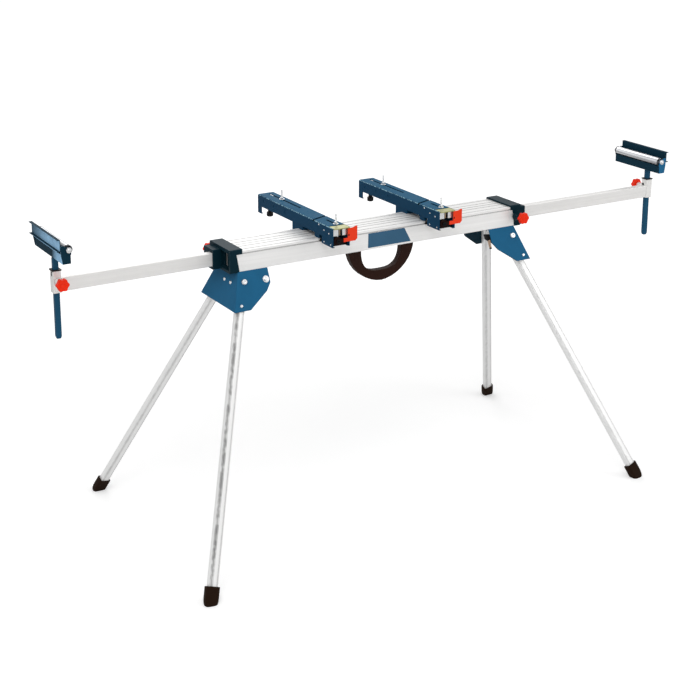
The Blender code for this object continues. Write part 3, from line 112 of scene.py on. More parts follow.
# %% [markdown]
# Screws, nuts and rings are turned: a profile of radius and height goes once round an axis. A nut's
# radius is drawn in between its corners, on the rings that a third value in the profile marks. The
# profiles alone are in millimetres.


# %% Turned shapes
MM_IN_METRE = 1000


def axes_for(direction):
    """Two directions square to a given one, and that one: the second is the part of Z square to it."""
    along = np.array(direction, float) / np.linalg.norm(direction)
    up = np.array((0.0, 0.0, 1.0)) - along * along[2]
    if np.linalg.norm(up) < 1e-6:
        up = np.array((0.0, 1.0, 0.0))
    up = up / np.linalg.norm(up)
    return np.cross(up, along), up, along


def turned_grid(profile, origin, direction, sides=32, corners=None):
    """Points origin + r(a) (cos a, sin a) + h along: each (r, h) of the profile goes once round.
    With corners set, r is r cos(pi/n) / cos((a mod 2pi/n) - pi/n) on the entries with a third value."""
    across, up, along = axes_for(direction)
    angle = np.linspace(0, 2 * np.pi, sides, endpoint=False)
    radius, height = (np.array([[entry[part] / MM_IN_METRE] for entry in profile]) for part in (0, 1))
    flats = np.ones_like(angle)
    if corners:
        half = np.pi / corners
        flats = np.cos(half) / np.cos(np.mod(angle, 2 * half) - half)
    cornered = np.array([len(entry) > 2 for entry in profile])[:, None]
    reach = radius * np.where(cornered, flats[None, :], 1.0)
    ring = np.cos(angle)[None, :, None] * across + np.sin(angle)[None, :, None] * up
    return np.asarray(origin) + reach[..., None] * ring + (height + 0 * angle)[..., None] * along


print("turned shapes ready")

# %% [markdown]
# ## Shared effects
# Several finishes need the same effects, such as wear along edges, dust on upward faces or streaks
# along an extrusion. Each is a node group, built once, and every material sets its own amounts.


# %% Node group helpers
VECTOR, COLOUR = (0.0, 0.0, 0.0), (0.5, 0.5, 0.5, 1.0)
KINDS = {1: "NodeSocketFloat", 3: "NodeSocketVector", 4: "NodeSocketColor"}


def new_group(name, given, wanted):
    """A shader node group with its input and output sockets; a start value's size tells a socket's kind."""
    group = bpy.data.node_groups.new(name, "ShaderNodeTree")
    for in_out, sockets in (("INPUT", given), ("OUTPUT", wanted)):
        for label, value in sockets.items():
            kind = KINDS[np.size(value)]
            group.interface.new_socket(label, in_out=in_out, socket_type=kind).default_value = value
    return group, group.nodes.new("NodeGroupInput").outputs, group.nodes.new("NodeGroupOutput").inputs


def put(tree, socket, value):
    """The socket set to a number or tuple, or else linked from another socket."""
    if isinstance(value, (int, float, tuple)):
        socket.default_value = value
    else:
        tree.links.new(value, socket)


def math_node(tree, operation, first, second=None, clamp=False):
    """A Math node; each operand is a socket or a number."""
    node = tree.nodes.new("ShaderNodeMath")
    node.operation = operation
    node.use_clamp = clamp
    put(tree, node.inputs[0], first)
    if second is not None:
        put(tree, node.inputs[1], second)
    return node.outputs[0]


def times(tree, first, second):
    """The product of two sockets or numbers."""
    return math_node(tree, "MULTIPLY", first, second)


def between(tree, value, low, high):
    """low + value (high - low): low where the value is 0, high where it is 1."""
    return math_node(tree, "ADD", low, times(tree, value, high - low))


def vector_math(tree, operation, first, second):
    """A Vector Math node; the second operand is a vector socket, a factor socket or a tuple."""
    node = tree.nodes.new("ShaderNodeVectorMath")
    node.operation = operation
    put(tree, node.inputs[0], first)
    put(tree, node.inputs["Scale" if operation == "SCALE" else 1], second)
    return node.outputs["Value" if operation == "DOT_PRODUCT" else "Vector"]


def noise_node(tree, vector, scale, detail=3.0):
    """A noise texture's value; scale is a number or a socket."""
    node = tree.nodes.new("ShaderNodeTexNoise")
    node.inputs["Detail"].default_value = detail
    node.inputs["Roughness"].default_value = 0.55
    put(tree, node.inputs["Scale"], scale)
    put(tree, node.inputs["Vector"], vector)
    return node.outputs["Fac"]


def ramp(tree, value, low, high):
    """A value stretched so that low becomes 0 and high becomes 1, clamped."""
    node = tree.nodes.new("ShaderNodeMapRange")
    node.inputs["From Min"].default_value = low
    node.inputs["From Max"].default_value = high
    tree.links.new(value, node.inputs["Value"])
    return node.outputs["Result"]


def mix_colour(tree, factor, first, second):
    """A colour mix by a socket; each colour is a socket or an (r, g, b) tuple."""
    node = tree.nodes.new("ShaderNodeMix")
    node.data_type = "RGBA"
    for name, value in (("Factor", factor), ("A", first), ("B", second)):
        socket = [item for item in node.inputs if item.name == name and item.enabled][0]
        put(tree, socket, (*value, 1) if isinstance(value, tuple) else value)
    return [item for item in node.outputs if item.enabled][0]


print("node helpers ready")

# %% [markdown]
# Wear shows where coatings rub thin: along edges, where some paints also carry a painted highlight. A
# Bevel node compares the rounded normal with the flat one, and where they differ there is an edge. The
# same node rounds the edge in the shading.


# %% Group: worn and highlighted edges
edge_group, edge_in, edge_out = new_group(
    "edge_wear_and_highlight", {"Vector": VECTOR, "Radius": 0.0015, "Patchiness": 60.0}, {"Edge": 0.0, "Normal": VECTOR})
BLOTCH_RANGE, TURN_RANGE = (0.42, 0.62), (0.02, 0.16)
bevel = edge_group.nodes.new("ShaderNodeBevel")
bevel.samples = 4
edge_group.links.new(edge_in["Radius"], bevel.inputs["Radius"])
geometry = edge_group.nodes.new("ShaderNodeNewGeometry")
alike = vector_math(edge_group, "DOT_PRODUCT", bevel.outputs["Normal"], geometry.outputs["Normal"])
turning = math_node(edge_group, "SUBTRACT", 1.0, alike)
blotches = noise_node(edge_group, edge_in["Vector"], edge_in["Patchiness"])
patches = ramp(edge_group, blotches, *BLOTCH_RANGE)
edge = math_node(edge_group, "MULTIPLY", ramp(edge_group, turning, *TURN_RANGE), patches, clamp=True)
edge_group.links.new(edge, edge_out["Edge"])
edge_group.links.new(bevel.outputs["Normal"], edge_out["Normal"])
print("group", edge_group.name)

# %% [markdown]
# Dust and hand marks: a soft large mottling everywhere, and a pale film on faces that look upward.

# %% Group: dust and mottling
dust_group, dust_in, dust_out = new_group(
    "dust_film", {"Vector": VECTOR, "Colour": COLOUR, "Amount": 0.1, "Mottle": 0.08, "Roughness": 0.4},
    {"Colour": COLOUR, "Roughness": 0.4})
CLOUD_SCALE, SPECK_SCALE, SPECK_RANGE = 9.0, 170.0, (0.5, 0.75)
UPWARD_RANGE, DUST_TONE = (0.2, 0.95), (0.62, 0.60, 0.56)
dust_normal = dust_group.nodes.new("ShaderNodeNewGeometry")
split = dust_group.nodes.new("ShaderNodeSeparateXYZ")
dust_group.links.new(dust_normal.outputs["Normal"], split.inputs[0])
upward = ramp(dust_group, split.outputs["Z"], *UPWARD_RANGE)
clouds = noise_node(dust_group, dust_in["Vector"], CLOUD_SCALE, 5.0)
specks = ramp(dust_group, noise_node(dust_group, dust_in["Vector"], SPECK_SCALE, 4.0), *SPECK_RANGE)
settled = times(dust_group, upward, dust_in["Amount"])
film = math_node(dust_group, "MULTIPLY", settled, math_node(dust_group, "ADD", clouds, specks), clamp=True)
shade = math_node(dust_group, "SUBTRACT", clouds, 0.5)
swing = math_node(dust_group, "ADD", 1.0, times(dust_group, shade, dust_in["Mottle"]))
tinted = vector_math(dust_group, "SCALE", dust_in["Colour"], swing)
dust_group.links.new(mix_colour(dust_group, film, tinted, DUST_TONE), dust_out["Colour"])
rough = math_node(dust_group, "ADD", dust_in["Roughness"], times(dust_group, shade, 0.25))
rough = math_node(dust_group, "ADD", rough, times(dust_group, film, 0.4), clamp=True)
dust_group.links.new(rough, dust_out["Roughness"])
print("group", dust_group.name)

# %% [markdown]
# An extrusion carries fine die lines along its length. Noise gives them, on coordinates that are
# squeezed along the length.

# %% Group: die lines
line_group, line_in, line_out = new_group(
    "die_lines", {"Vector": VECTOR, "Fineness": 700.0}, {"Lines": 0.5, "Bands": 0.5})
fine = noise_node(line_group, line_in["Vector"], line_in["Fineness"], 2.0)
broad = noise_node(line_group, line_in["Vector"], times(line_group, line_in["Fineness"], 0.12), 3.0)
line_group.links.new(fine, line_out["Lines"])
line_group.links.new(broad, line_out["Bands"])
print("group", line_group.name)

# %% [markdown]
# Grooves and inner corners are painted darker, as painted shade. Ambient occlusion within the piece finds
# them: it is low where the surface hides a point from its surroundings. The factor is 1 - shade (1 -
# openness).

# %% Group: crevices
crevice_group, crevice_in, crevice_out = new_group(
    "crevice_shade", {"Reach": 0.004, "Shade": 0.55}, {"Factor": 1.0})
OPEN_RANGE = (0.35, 0.95)
hollow = crevice_group.nodes.new("ShaderNodeAmbientOcclusion")
hollow.samples = 6
hollow.only_local = True
crevice_group.links.new(crevice_in["Reach"], hollow.inputs["Distance"])
closed = math_node(crevice_group, "SUBTRACT", 1.0, ramp(crevice_group, hollow.outputs["AO"], *OPEN_RANGE))
loss = times(crevice_group, closed, crevice_in["Shade"])
crevice_group.links.new(math_node(crevice_group, "SUBTRACT", 1.0, loss), crevice_out["Factor"])
print("group", crevice_group.name)

# %% [markdown]
# Painted light and shade: paint that looks one way is painted paler or darker than the rest. The share
# is how far the face's normal points along a direction, stretched between a low and a high value.

# %% Group: facing
facing_group, facing_in, facing_out = new_group(
    "facing_share", {"Toward": VECTOR, "Low": 0.8, "High": 0.98}, {"Share": 0.0})
face_normal = facing_group.nodes.new("ShaderNodeNewGeometry")
facing = vector_math(facing_group, "DOT_PRODUCT", face_normal.outputs["Normal"], facing_in["Toward"])
past_low = math_node(facing_group, "SUBTRACT", facing, facing_in["Low"])
span = math_node(facing_group, "SUBTRACT", facing_in["High"], facing_in["Low"])
share = math_node(facing_group, "DIVIDE", past_low, span, clamp=True)
facing_group.links.new(share, facing_out["Share"])
print("group", facing_group.name)

# %% [markdown]
# Zinc plate grows in fine crystals. A Voronoi pattern gives each crystal its own tone, and the same
# pattern's distance is the height for the bump.

# %% Group: crystals
crystal_group, crystal_in, crystal_out = new_group(
    "zinc_crystals", {"Vector": VECTOR, "Scale": 420.0}, {"Tone": 1.0, "Height": 0.0})
TONE_RANGE = (0.90, 1.08)
cells = crystal_group.nodes.new("ShaderNodeTexVoronoi")
crystal_group.links.new(crystal_in["Vector"], cells.inputs["Vector"])
crystal_group.links.new(crystal_in["Scale"], cells.inputs["Scale"])
tone = between(crystal_group, cells.outputs["Distance"], *TONE_RANGE)
crystal_group.links.new(tone, crystal_out["Tone"])
crystal_group.links.new(cells.outputs["Distance"], crystal_out["Height"])
print("group", crystal_group.name)

# %% [markdown]
# ## Finishes
# Every material starts the same way: object coordinates, edges for wear and painted highlight, and a
# film of dust. Each recipe below then covers, darkens or roughens it in a few steps.


# %% Material helpers
def place_group(tree, group, vector, **values):
    """A group node with its vector linked, where it has one, and its other inputs set by name."""
    node = tree.nodes.new("ShaderNodeGroup")
    node.node_tree = group
    if vector is not None:
        tree.links.new(vector, node.inputs["Vector"])
    for name, value in values.items():
        node.inputs[name].default_value = value
    return node


def bump(tree, shader, height, strength, distance, normal):
    """A Bump node over an edge-rounded normal, linked to the shader."""
    node = tree.nodes.new("ShaderNodeBump")
    node.inputs["Strength"].default_value = strength
    node.inputs["Distance"].default_value = distance
    tree.links.new(height, node.inputs["Height"])
    tree.links.new(normal, node.inputs["Normal"])
    tree.links.new(node.outputs["Normal"], shader.inputs["Normal"])


def darken(tree, shader, factor):
    """The shader's base colour multiplied by a factor that changes over the surface."""
    plain = shader.inputs["Base Color"].links[0].from_socket
    tree.links.new(vector_math(tree, "SCALE", plain, factor), shader.inputs["Base Color"])


def cover(tree, shader, share, colour):
    """The shader's base colour turned into another by a share that changes over the surface."""
    plain = shader.inputs["Base Color"].links[0].from_socket
    tree.links.new(mix_colour(tree, share, plain, colour), shader.inputs["Base Color"])


def object_place(tree):
    """The x, y and z sockets of a point of the object."""
    place = tree.nodes.new("ShaderNodeTexCoord")
    parts = tree.nodes.new("ShaderNodeSeparateXYZ")
    tree.links.new(place.outputs["Object"], parts.inputs[0])
    return parts.outputs


def start_material(name, colour, roughness, edge, dust, mottle, patchiness=60.0, turn=(0, 0, 0)):
    """A material on mapped object coordinates, with dust in its colour and roughness, and its edges."""
    material = bpy.data.materials.new(name)
    material.use_nodes = True
    tree = material.node_tree
    shader = tree.nodes["Principled BSDF"]
    coordinates = tree.nodes.new("ShaderNodeTexCoord")
    mapping = tree.nodes.new("ShaderNodeMapping")
    mapping.inputs["Rotation"].default_value = turn
    tree.links.new(coordinates.outputs["Object"], mapping.inputs["Vector"])
    vector = mapping.outputs["Vector"]
    edges = place_group(tree, edge_group, vector, Radius=edge, Patchiness=patchiness)
    film = place_group(tree, dust_group, vector, Amount=dust, Mottle=mottle, Roughness=roughness,
                       Colour=(*colour, 1))
    tree.links.new(film.outputs["Colour"], shader.inputs["Base Color"])
    tree.links.new(film.outputs["Roughness"], shader.inputs["Roughness"])
    return material, tree, shader, vector, edges


print("material helpers ready")

# %% [markdown]
# Powder coat is sprayed and baked, so it has a faint orange-peel skin and rubs through at its edges
# first; its pale edge line is that wear and a painted highlight together. The specular level is low: a
# high one would wash the dark blues out.


# %% Recipe: powder coat
def painted(name, colour, roughness=0.42, edge_share=0.5, edge_colour=(0.10, 0.24, 0.34)):
    """Powder coat: orange-peel bump, mottled colour, and a thin pale line along the edges, wear and painted
    highlight.
    """
    material, tree, shader, vector, edges = start_material(
        name, colour, roughness, edge=0.0012, dust=0.006, mottle=0.22, patchiness=90.0)
    # Pale edge line: wear and a painted highlight together.
    cover(tree, shader, times(tree, edges.outputs["Edge"], edge_share), edge_colour)
    shader.inputs["Specular IOR Level"].default_value = 0.06
    bump(tree, shader, noise_node(tree, vector, 620.0, 2.0), 0.12, 0.0004, edges.outputs["Normal"])
    return material


cap_paint = painted("cap_paint", (0.0020, 0.018, 0.028))
post_paint = painted("post_paint", (0.0125, 0.073, 0.140))
stop_paint = painted("stop_paint", (0.0030, 0.027, 0.048), roughness=0.60)
black_steel = painted("black_steel", (0.007, 0.007, 0.008), roughness=0.50, edge_colour=(0.02, 0.02, 0.02))
print("powder coats", 4)

# %% [markdown]
# Aluminium is pressed through a die, whose marks run down its length. The noise's coordinates are
# squeezed along that length, so one recipe serves the rail, the bars, the legs and the rollers.


# %% Recipe: extruded aluminium
def extruded(name, colour, roughness, metallic=0.45, turn=(0, 0, 0), squeeze=(0.012, 1, 1), fineness=700.0,
             streaks_and_reflection=0.22, shade=0.55):
    """Anodised aluminium: die lines along the extrusion in colour, roughness and bump, painted shade in
    crevices, and broad streaks that on the roller are a painted reflection.
    """
    material, tree, shader, vector, edges = start_material(
        name, colour, roughness, edge=0.0009, dust=0.05, mottle=0.05, turn=turn)
    lines = place_group(tree, line_group, vector_math(tree, "MULTIPLY", vector, squeeze), Fineness=fineness)
    streak_and_reflection = times(tree, math_node(tree, "SUBTRACT", lines.outputs["Bands"], 0.5), streaks_and_reflection)
    dark = math_node(tree, "SUBTRACT", lines.outputs["Lines"], 0.5)
    depth = math_node(tree, "ADD", 1.0, math_node(tree, "ADD", streak_and_reflection, times(tree, dark, 0.10)))
    # Painted shade: grooves and inner corners darkened by the crevice factor.
    painted_crevice_shade = place_group(tree, crevice_group, None, Reach=0.004, Shade=shade)
    darken(tree, shader, times(tree, depth, painted_crevice_shade.outputs["Factor"]))
    dusty = shader.inputs["Roughness"].links[0].from_socket
    rough = math_node(tree, "ADD", dusty, times(tree, dark, 0.18), clamp=True)
    tree.links.new(rough, shader.inputs["Roughness"])
    shader.inputs["Metallic"].default_value = metallic
    bump(tree, shader, lines.outputs["Lines"], 0.10, 0.0003, edges.outputs["Normal"])
    return material


bar_metal = extruded("bar_aluminium", (0.82, 0.81, 0.795), 0.42)
# Painted reflection: the roller's strong broad streaks stand in for reflected stripes along the tube.
roller_metal = extruded("roller_steel", (0.60, 0.61, 0.63), 0.26, metallic=0.85, squeeze=(1, 0.012, 1),
                        fineness=1200.0, streaks_and_reflection=4.2)
print("extruded metals", 2)

# %% [markdown]
# Knobs, bushes, feet and the handle are moulded. The mould's spark-eroded grain shows as a fine bump,
# and hands and floors leave scuffs on the edges.


# %% Recipe: moulded plastic and rubber
def moulded(name, colour, roughness, edge_colour, grain=900.0, edge_share=0.25, strength=0.15, dust=0.02):
    """Moulded plastic or rubber: spark-eroded grain, paler scuffs along the edges."""
    material, tree, shader, vector, edges = start_material(
        name, colour, roughness, edge=0.0010, dust=dust, mottle=0.30, patchiness=140.0)
    cover(tree, shader, times(tree, edges.outputs["Edge"], edge_share), edge_colour)
    shader.inputs["Specular IOR Level"].default_value = 0.12
    bump(tree, shader, noise_node(tree, vector, grain, 3.0), strength, 0.0004, edges.outputs["Normal"])
    return material


knob_plastic = moulded("knob_plastic", (0.90, 0.028, 0.004), 0.42, edge_colour=(0.30, 0.010, 0.004), edge_share=0.5)
black_plastic = moulded("black_plastic", (0.010, 0.010, 0.011), 0.48, edge_colour=(0.04, 0.04, 0.04))
rubber = moulded("rubber", (0.013, 0.0045, 0.001), 0.78, edge_colour=(0.05, 0.03, 0.02), grain=500.0, dust=0.0)
grip = moulded("grip", (0.018, 0.004, 0.001), 0.55, edge_colour=(0.10, 0.07, 0.05), grain=640.0, strength=0.3)
print("moulded finishes", 4)

# %% [markdown]
# Bolts, nuts and rivets are zinc plated, the plate over the clamp is passivated yellow, and the sleeve
# and springs are warmer in tone.


# %% Recipe: zinc plate
def plated(name, colour, roughness=0.26, crystal=420.0):
    """Zinc plate: fine crystal mottling in colour and bump, under a little dust."""
    material, tree, shader, vector, edges = start_material(name, colour, roughness, edge=0.0006, dust=0.04,
                                                           mottle=0.12)
    crystals = place_group(tree, crystal_group, vector, Scale=crystal)
    darken(tree, shader, crystals.outputs["Tone"])
    shader.inputs["Metallic"].default_value = 0.9
    bump(tree, shader, crystals.outputs["Height"], 0.06, 0.0002, edges.outputs["Normal"])
    return material


steel = plated("plated_steel", (0.74, 0.75, 0.76))
yellow_zinc = plated("yellow_zinc", (0.42, 0.42, 0.20), roughness=0.36, crystal=260.0)
sleeve_steel = plated("sleeve_steel", (0.30, 0.22, 0.15), roughness=0.40, crystal=400.0)
spring_wire = plated("spring_wire", (0.62, 0.45, 0.33), roughness=0.36, crystal=500.0)
print("plated metals", 4)

# %% [markdown]
# The rail's top has grooves, which hold shade and dirt. The finish darkens a narrow strip at each
# groove's place and along the seam between the two channels.

# %% The rail's finish
rail_low, rail_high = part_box("rail")
RAIL_SIDE = rail_high.y
GROOVE_PLACES = tuple(RAIL_SIDE * share for share in (0.76, 0.32))
GROOVE_HALF, SEAM_HALF, GROOVE_TONE = 0.0021, 0.0008, 0.42


def rail_finish(name, colour):
    """Aluminium that is dark where | |y| - groove place |, or |y| - seam half, is under a groove's half."""
    material = extruded(name, colour, 0.42, metallic=0.35)
    tree = material.node_tree
    away = math_node(tree, "ABSOLUTE", object_place(tree)["Y"])
    nearest = math_node(tree, "SUBTRACT", away, SEAM_HALF, clamp=True)
    for place in GROOVE_PLACES:
        distance = math_node(tree, "ABSOLUTE", math_node(tree, "SUBTRACT", away, place))
        nearest = math_node(tree, "MINIMUM", nearest, distance)
    clear = ramp(tree, nearest, GROOVE_HALF * 0.7, GROOVE_HALF)
    darken(tree, tree.nodes["Principled BSDF"], between(tree, clear, GROOVE_TONE, 1.0))
    return material


rail_metal = rail_finish("rail_aluminium", (0.88, 0.875, 0.865))
print("rail grooves at", GROOVE_PLACES)

# %% [markdown]
# In the photograph some painted faces are much paler than their neighbours: the left head's left
# faces, the right tray's end and the brackets' outside. Even light can't give that, so that light is
# painted into the colour: the paint is paler on the faces that look one way, and fades along the piece,
# as painted light and a painted reflection; the brackets' downward faces keep a dark tone as painted shade.


# %% Painted light and shade by facing
PATCH_SCALE, PATCH_RANGE = 26.0, (0.25, 0.60)


def facing_painted_light(name, dark, pale, toward, facing_range, fade_range, mottle=0.30):
    """Painted light: paint that is paler on faces looking along one direction, fading with y: normal share
    times fade.
    """
    material = painted(name, dark, roughness=0.60)
    tree = material.node_tree
    low, high = facing_range
    facing = place_group(tree, facing_group, None, Toward=toward, Low=low, High=high)
    fade = ramp(tree, object_place(tree)["Y"], *fade_range)
    share = times(tree, facing.outputs["Share"], fade)
    patches = ramp(tree, noise_node(tree, tree.nodes["Mapping"].outputs["Vector"], PATCH_SCALE), *PATCH_RANGE)
    share = times(tree, share, between(tree, patches, 1.0 - mottle, 1.0))
    cover(tree, tree.nodes["Principled BSDF"], share, pale)
    return material


HEAD_NAVY = (0.0030, 0.027, 0.048)
LEFTWARD, FORWARD, UPWARD = (-1, 0, 0), (0, -1, 0), (0, 0, 1)
NO_FADE = (-2.0, -1.0)
# Painted reflection: the left stop's faces that look left are paler, fading towards the rear.
outer_stop = facing_painted_light("outer_stop_paint", HEAD_NAVY, (0.40, 0.70, 1.0), LEFTWARD, (0.80, 0.98), (0.17, 0.03))
# Painted light: the left tray's faces that look left are paler towards the front.
outer_tray = facing_painted_light("outer_tray_paint", HEAD_NAVY, (0.38, 0.68, 0.98), LEFTWARD, (0.50, 0.90),
                      (0.02, -0.02))
# Painted shade: the brackets' faces that look down keep the dark tone, the rest is the paler paint.
bracket_paint = facing_painted_light("bracket_paint", (0.004, 0.024, 0.040), (0.015, 0.118, 0.240), UPWARD,
                         (-0.30, -0.20), NO_FADE, mottle=0.10)
# Painted light: the right tray's faces that look forward are paler towards the front.
ear_paint = facing_painted_light("ear_paint", HEAD_NAVY, (0.020, 0.150, 0.310), FORWARD, (0.80, 0.98), (0.02, 0.00))
print("two-tone paints", 4)

# %% [markdown]
# The saw arms are pressed from sheet. Their tops are painted a lighter blue than their sides, as
# painted light, and the bends along both top edges carry short pale dashes of painted highlight.


# %% The arms' finish
ENDS = {"left": -1, "right": 1}
finishes = {}
BEND_START, BEND_FULL = 0.0030, 0.0018
DASH_SCALE, DASH_RANGE, TOP_LIGHT_SHARE = 150.0, (0.44, 0.56), 0.88
ARM_SIDE_BLUE, ARM_TOP_PAINTED_LIGHT, ARM_BEND_HIGHLIGHT = (0.0042, 0.043, 0.095), (0.0048, 0.098, 0.195), (0.30, 0.52, 0.62)


def arm_finish(name, low, high):
    """Arm paint with a painted highlight in pale dashes at its top bends: where | |x - middle| - half width |
    and top - z are small.
    """
    middle, half_width = (low.x + high.x) / 2, (high.x - low.x) / 2
    material = painted(name, ARM_SIDE_BLUE, roughness=0.55, edge_share=0.0)
    tree = material.node_tree
    shader = tree.nodes["Principled BSDF"]
    place = object_place(tree)
    out = math_node(tree, "ABSOLUTE", math_node(tree, "SUBTRACT", place["X"], middle))
    near_side = ramp(tree, out, half_width - BEND_START, half_width - BEND_FULL)
    near_top = ramp(tree, place["Z"], high.z - BEND_START, high.z - BEND_FULL)
    # Painted highlight: pale dashes along the top bends.
    dashes = noise_node(tree, tree.nodes["Mapping"].outputs["Vector"], DASH_SCALE, 1.0)
    bend_highlight = times(tree, times(tree, near_side, near_top), ramp(tree, dashes, *DASH_RANGE))
    # Painted light: faces that look up are painted a lighter blue.
    top = place_group(tree, facing_group, None, Toward=UPWARD)
    cover(tree, shader, times(tree, top.outputs["Share"], TOP_LIGHT_SHARE), ARM_TOP_PAINTED_LIGHT)
    cover(tree, shader, bend_highlight, ARM_BEND_HIGHLIGHT)
    return material


for side in ENDS:
    finishes[f"{side}_arm"] = arm_finish(f"{side}_arm_paint", *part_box(f"{side}_arm"))
print("finishes", list(finishes))

# %% [markdown]
# The clamp lever is red enamel, and its foot by the pivot is coloured black. The border is a plane at a
# fixed distance from the lever's left side, in object coordinates, so it turns with the lever.


# %% The levers' finish
BLACK_START, BLACK_END = 0.030, 0.033


def lever_finish(name, left_x):
    """Red enamel where x - left x is past the black part's end, and black before its start."""
    material = painted(name, (0.84, 0.050, 0.016), roughness=0.38, edge_share=0.3, edge_colour=(1.0, 0.35, 0.25))
    tree = material.node_tree
    black_foot = ramp(tree, object_place(tree)["X"], left_x + BLACK_END, left_x + BLACK_START)
    cover(tree, tree.nodes["Principled BSDF"], black_foot, (0.014, 0.004, 0.003))
    return material


for side in ENDS:
    lever = f"{side}_clamp_lever"
    finishes[lever] = lever_finish(f"{side}_lever_paint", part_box(lever)[0].x)
print("finishes", list(finishes))

# %% [markdown]
# The legs lean two ways, so their mapping is turned: its axes are down the leg, across it and out of
# its face. A patchy grey band of painted shade follows one groove: a range of the second axis,
# measured from the middle of the leg's own points.


# %% The legs' finish
LEG_LEAN = math.radians(25.1)
LEG_SPLAY = math.radians(19.0)
FACES = {"front": -1, "rear": 1}
BAND_START, BAND_END = np.array((-0.98, -0.88)), np.array((-0.10, -0.24))
BAND_PATCH_SCALE, BAND_PATCH_RANGE, BAND_PATCH_LEAST = 48.0, (0.38, 0.60), 0.45
SHADED_BAND_LEG, PLAIN_LEG = (0.60, 0.42), (0.20, 0.85)


def plate_axes(face):
    """Down the slope and out of the face of a bracket's side plate, which the legs lean with."""
    return (np.array((0, face * math.sin(LEG_LEAN), -math.cos(LEG_LEAN))),
            np.array((0, face * math.cos(LEG_LEAN), math.sin(LEG_LEAN))))


def leg_metal(name, end, face, shade, tone):
    """Aluminium times 1 - (1 - tone) band patches, with die lines down the leg: the band is painted shade
    along one groove, and the patches are a noise.
    """
    slope, normal = plate_axes(face)
    down = slope * math.cos(LEG_SPLAY) + np.array((end * math.sin(LEG_SPLAY), 0, 0))
    width = np.cross(normal, down)
    turn = Matrix((tuple(down), tuple(width), tuple(normal))).to_euler()
    mesh = nodes[name].data
    points = np.empty(3 * len(mesh.vertices))
    mesh.vertices.foreach_get("co", points)
    across = points.reshape(-1, 3) @ width
    middle, half = (across.max() + across.min()) / 2, (across.max() - across.min()) / 2
    material = extruded(f"{name}_metal", (0.88, 0.88, 0.875), 0.40, metallic=0.35, turn=tuple(turn),
                        shade=shade)
    tree = material.node_tree
    vector = tree.nodes["Mapping"].outputs["Vector"]
    parts = tree.nodes.new("ShaderNodeSeparateXYZ")
    tree.links.new(vector, parts.inputs[0])
    place = times(tree, math_node(tree, "SUBTRACT", parts.outputs["Y"], middle), -face)
    # Painted shade: a grey band along one groove, broken into patches.
    band = times(tree, ramp(tree, place, *half * BAND_START), ramp(tree, place, *half * BAND_END))
    band_shade_patches = ramp(tree, noise_node(tree, vector, BAND_PATCH_SCALE, 1.0), *BAND_PATCH_RANGE)
    loss = times(tree, times(tree, band, between(tree, band_shade_patches, BAND_PATCH_LEAST, 1.0)), 1.0 - tone)
    darken(tree, tree.nodes["Principled BSDF"], math_node(tree, "SUBTRACT", 1.0, loss))
    return material


for side, end in ENDS.items():
    for label, face in FACES.items():
        name = f"{side}_{label}_leg"
        finishes[name] = leg_metal(name, end, face, *(SHADED_BAND_LEG if name == "left_front_leg" else PLAIN_LEG))
print("finishes", list(finishes))

# %% [markdown]
# The solids already have the right shapes, so they only get finishes. A part takes the finish of its
# full name, or else that of its name without left or right.

# %% Finishes on the solids
for material, parts in (
        (rail_metal, "rail"), (bar_metal, "extension_bar collar"), (roller_metal, "roller"),
        (steel, "roller_shaft front_bolt rear_bolt front_pivot_bolt rear_pivot_bolt front_lock_pin"),
        (steel, "rear_lock_pin"), (yellow_zinc, "clamp_plate"), (cap_paint, "end_cap"),
        (bracket_paint, "leg_bracket"), (post_paint, "post"), (outer_tray, "left_roller_tray"),
        (ear_paint, "right_roller_tray"), (outer_stop, "left_stop_channel"), (grip, "handle"),
        (stop_paint, "right_stop_channel"), (knob_plastic, "bar_knob post_knob"), (black_steel, "clamp_jaw"),
        (black_plastic, "bar_plug bush rear_knob front_latch rear_latch"), (rubber, "front_foot rear_foot")):
    finishes.update(dict.fromkeys(parts.split(), material))
for name, obj in nodes.items():
    twin = name.removeprefix("left_").removeprefix("right_")
    for slot in obj.material_slots:
        slot.material = finishes.get(name, finishes.get(twin))
print("finishes on", len(nodes), "solids")

# %% [markdown]
# ## Small hardware
# Screws, rivets and bolt heads are turned or hexagonal shapes. One function makes them all, and sets
# them on a point of a face along its normal.

# %% Measured places and fasteners
SHIFT = (rail_low.x + rail_high.x) / 2
RAIL_TOP, RAIL_BOTTOM = rail_high.z, rail_low.z
PLATE_TOP = RAIL_BOTTOM - 0.0003
ARM_X = {side: sum(corner.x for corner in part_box(f"{side}_arm")) / 2 for side in ENDS}
ARM_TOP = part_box("left_arm")[1].z


def on_plate(end, face, out, down, lift=0.0):
    """A point of a bracket's sloping side plate: out along the rail, down the slope, lifted off it."""
    slope, normal = plate_axes(face)
    start = np.array((SHIFT + end * out, face * RAIL_SIDE, PLATE_TOP))
    return start + slope * down + normal * lift, normal


def fitted(piece, material, body):
    """The piece with its material, riding on its body."""
    piece.data.materials.append(material)
    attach(piece, body)
    return piece


def fastener(name, profile, origin, normal, material, body, sides=32, corners=None):
    """A turned or hexagonal fastener on a face, riding on a body."""
    return fitted(surface(name, turned_grid(profile, origin, normal, sides, corners)), material, body)


print("rail centre", round(SHIFT, 4), "arms at", {side: round(x, 4) for side, x in ARM_X.items()})

# %% [markdown]
# The brackets hang from the rail on bolts: one large hexagon head on the outer front plate and its
# twin at the other end's rear plate, and two small domed screws on each sloping end plate.

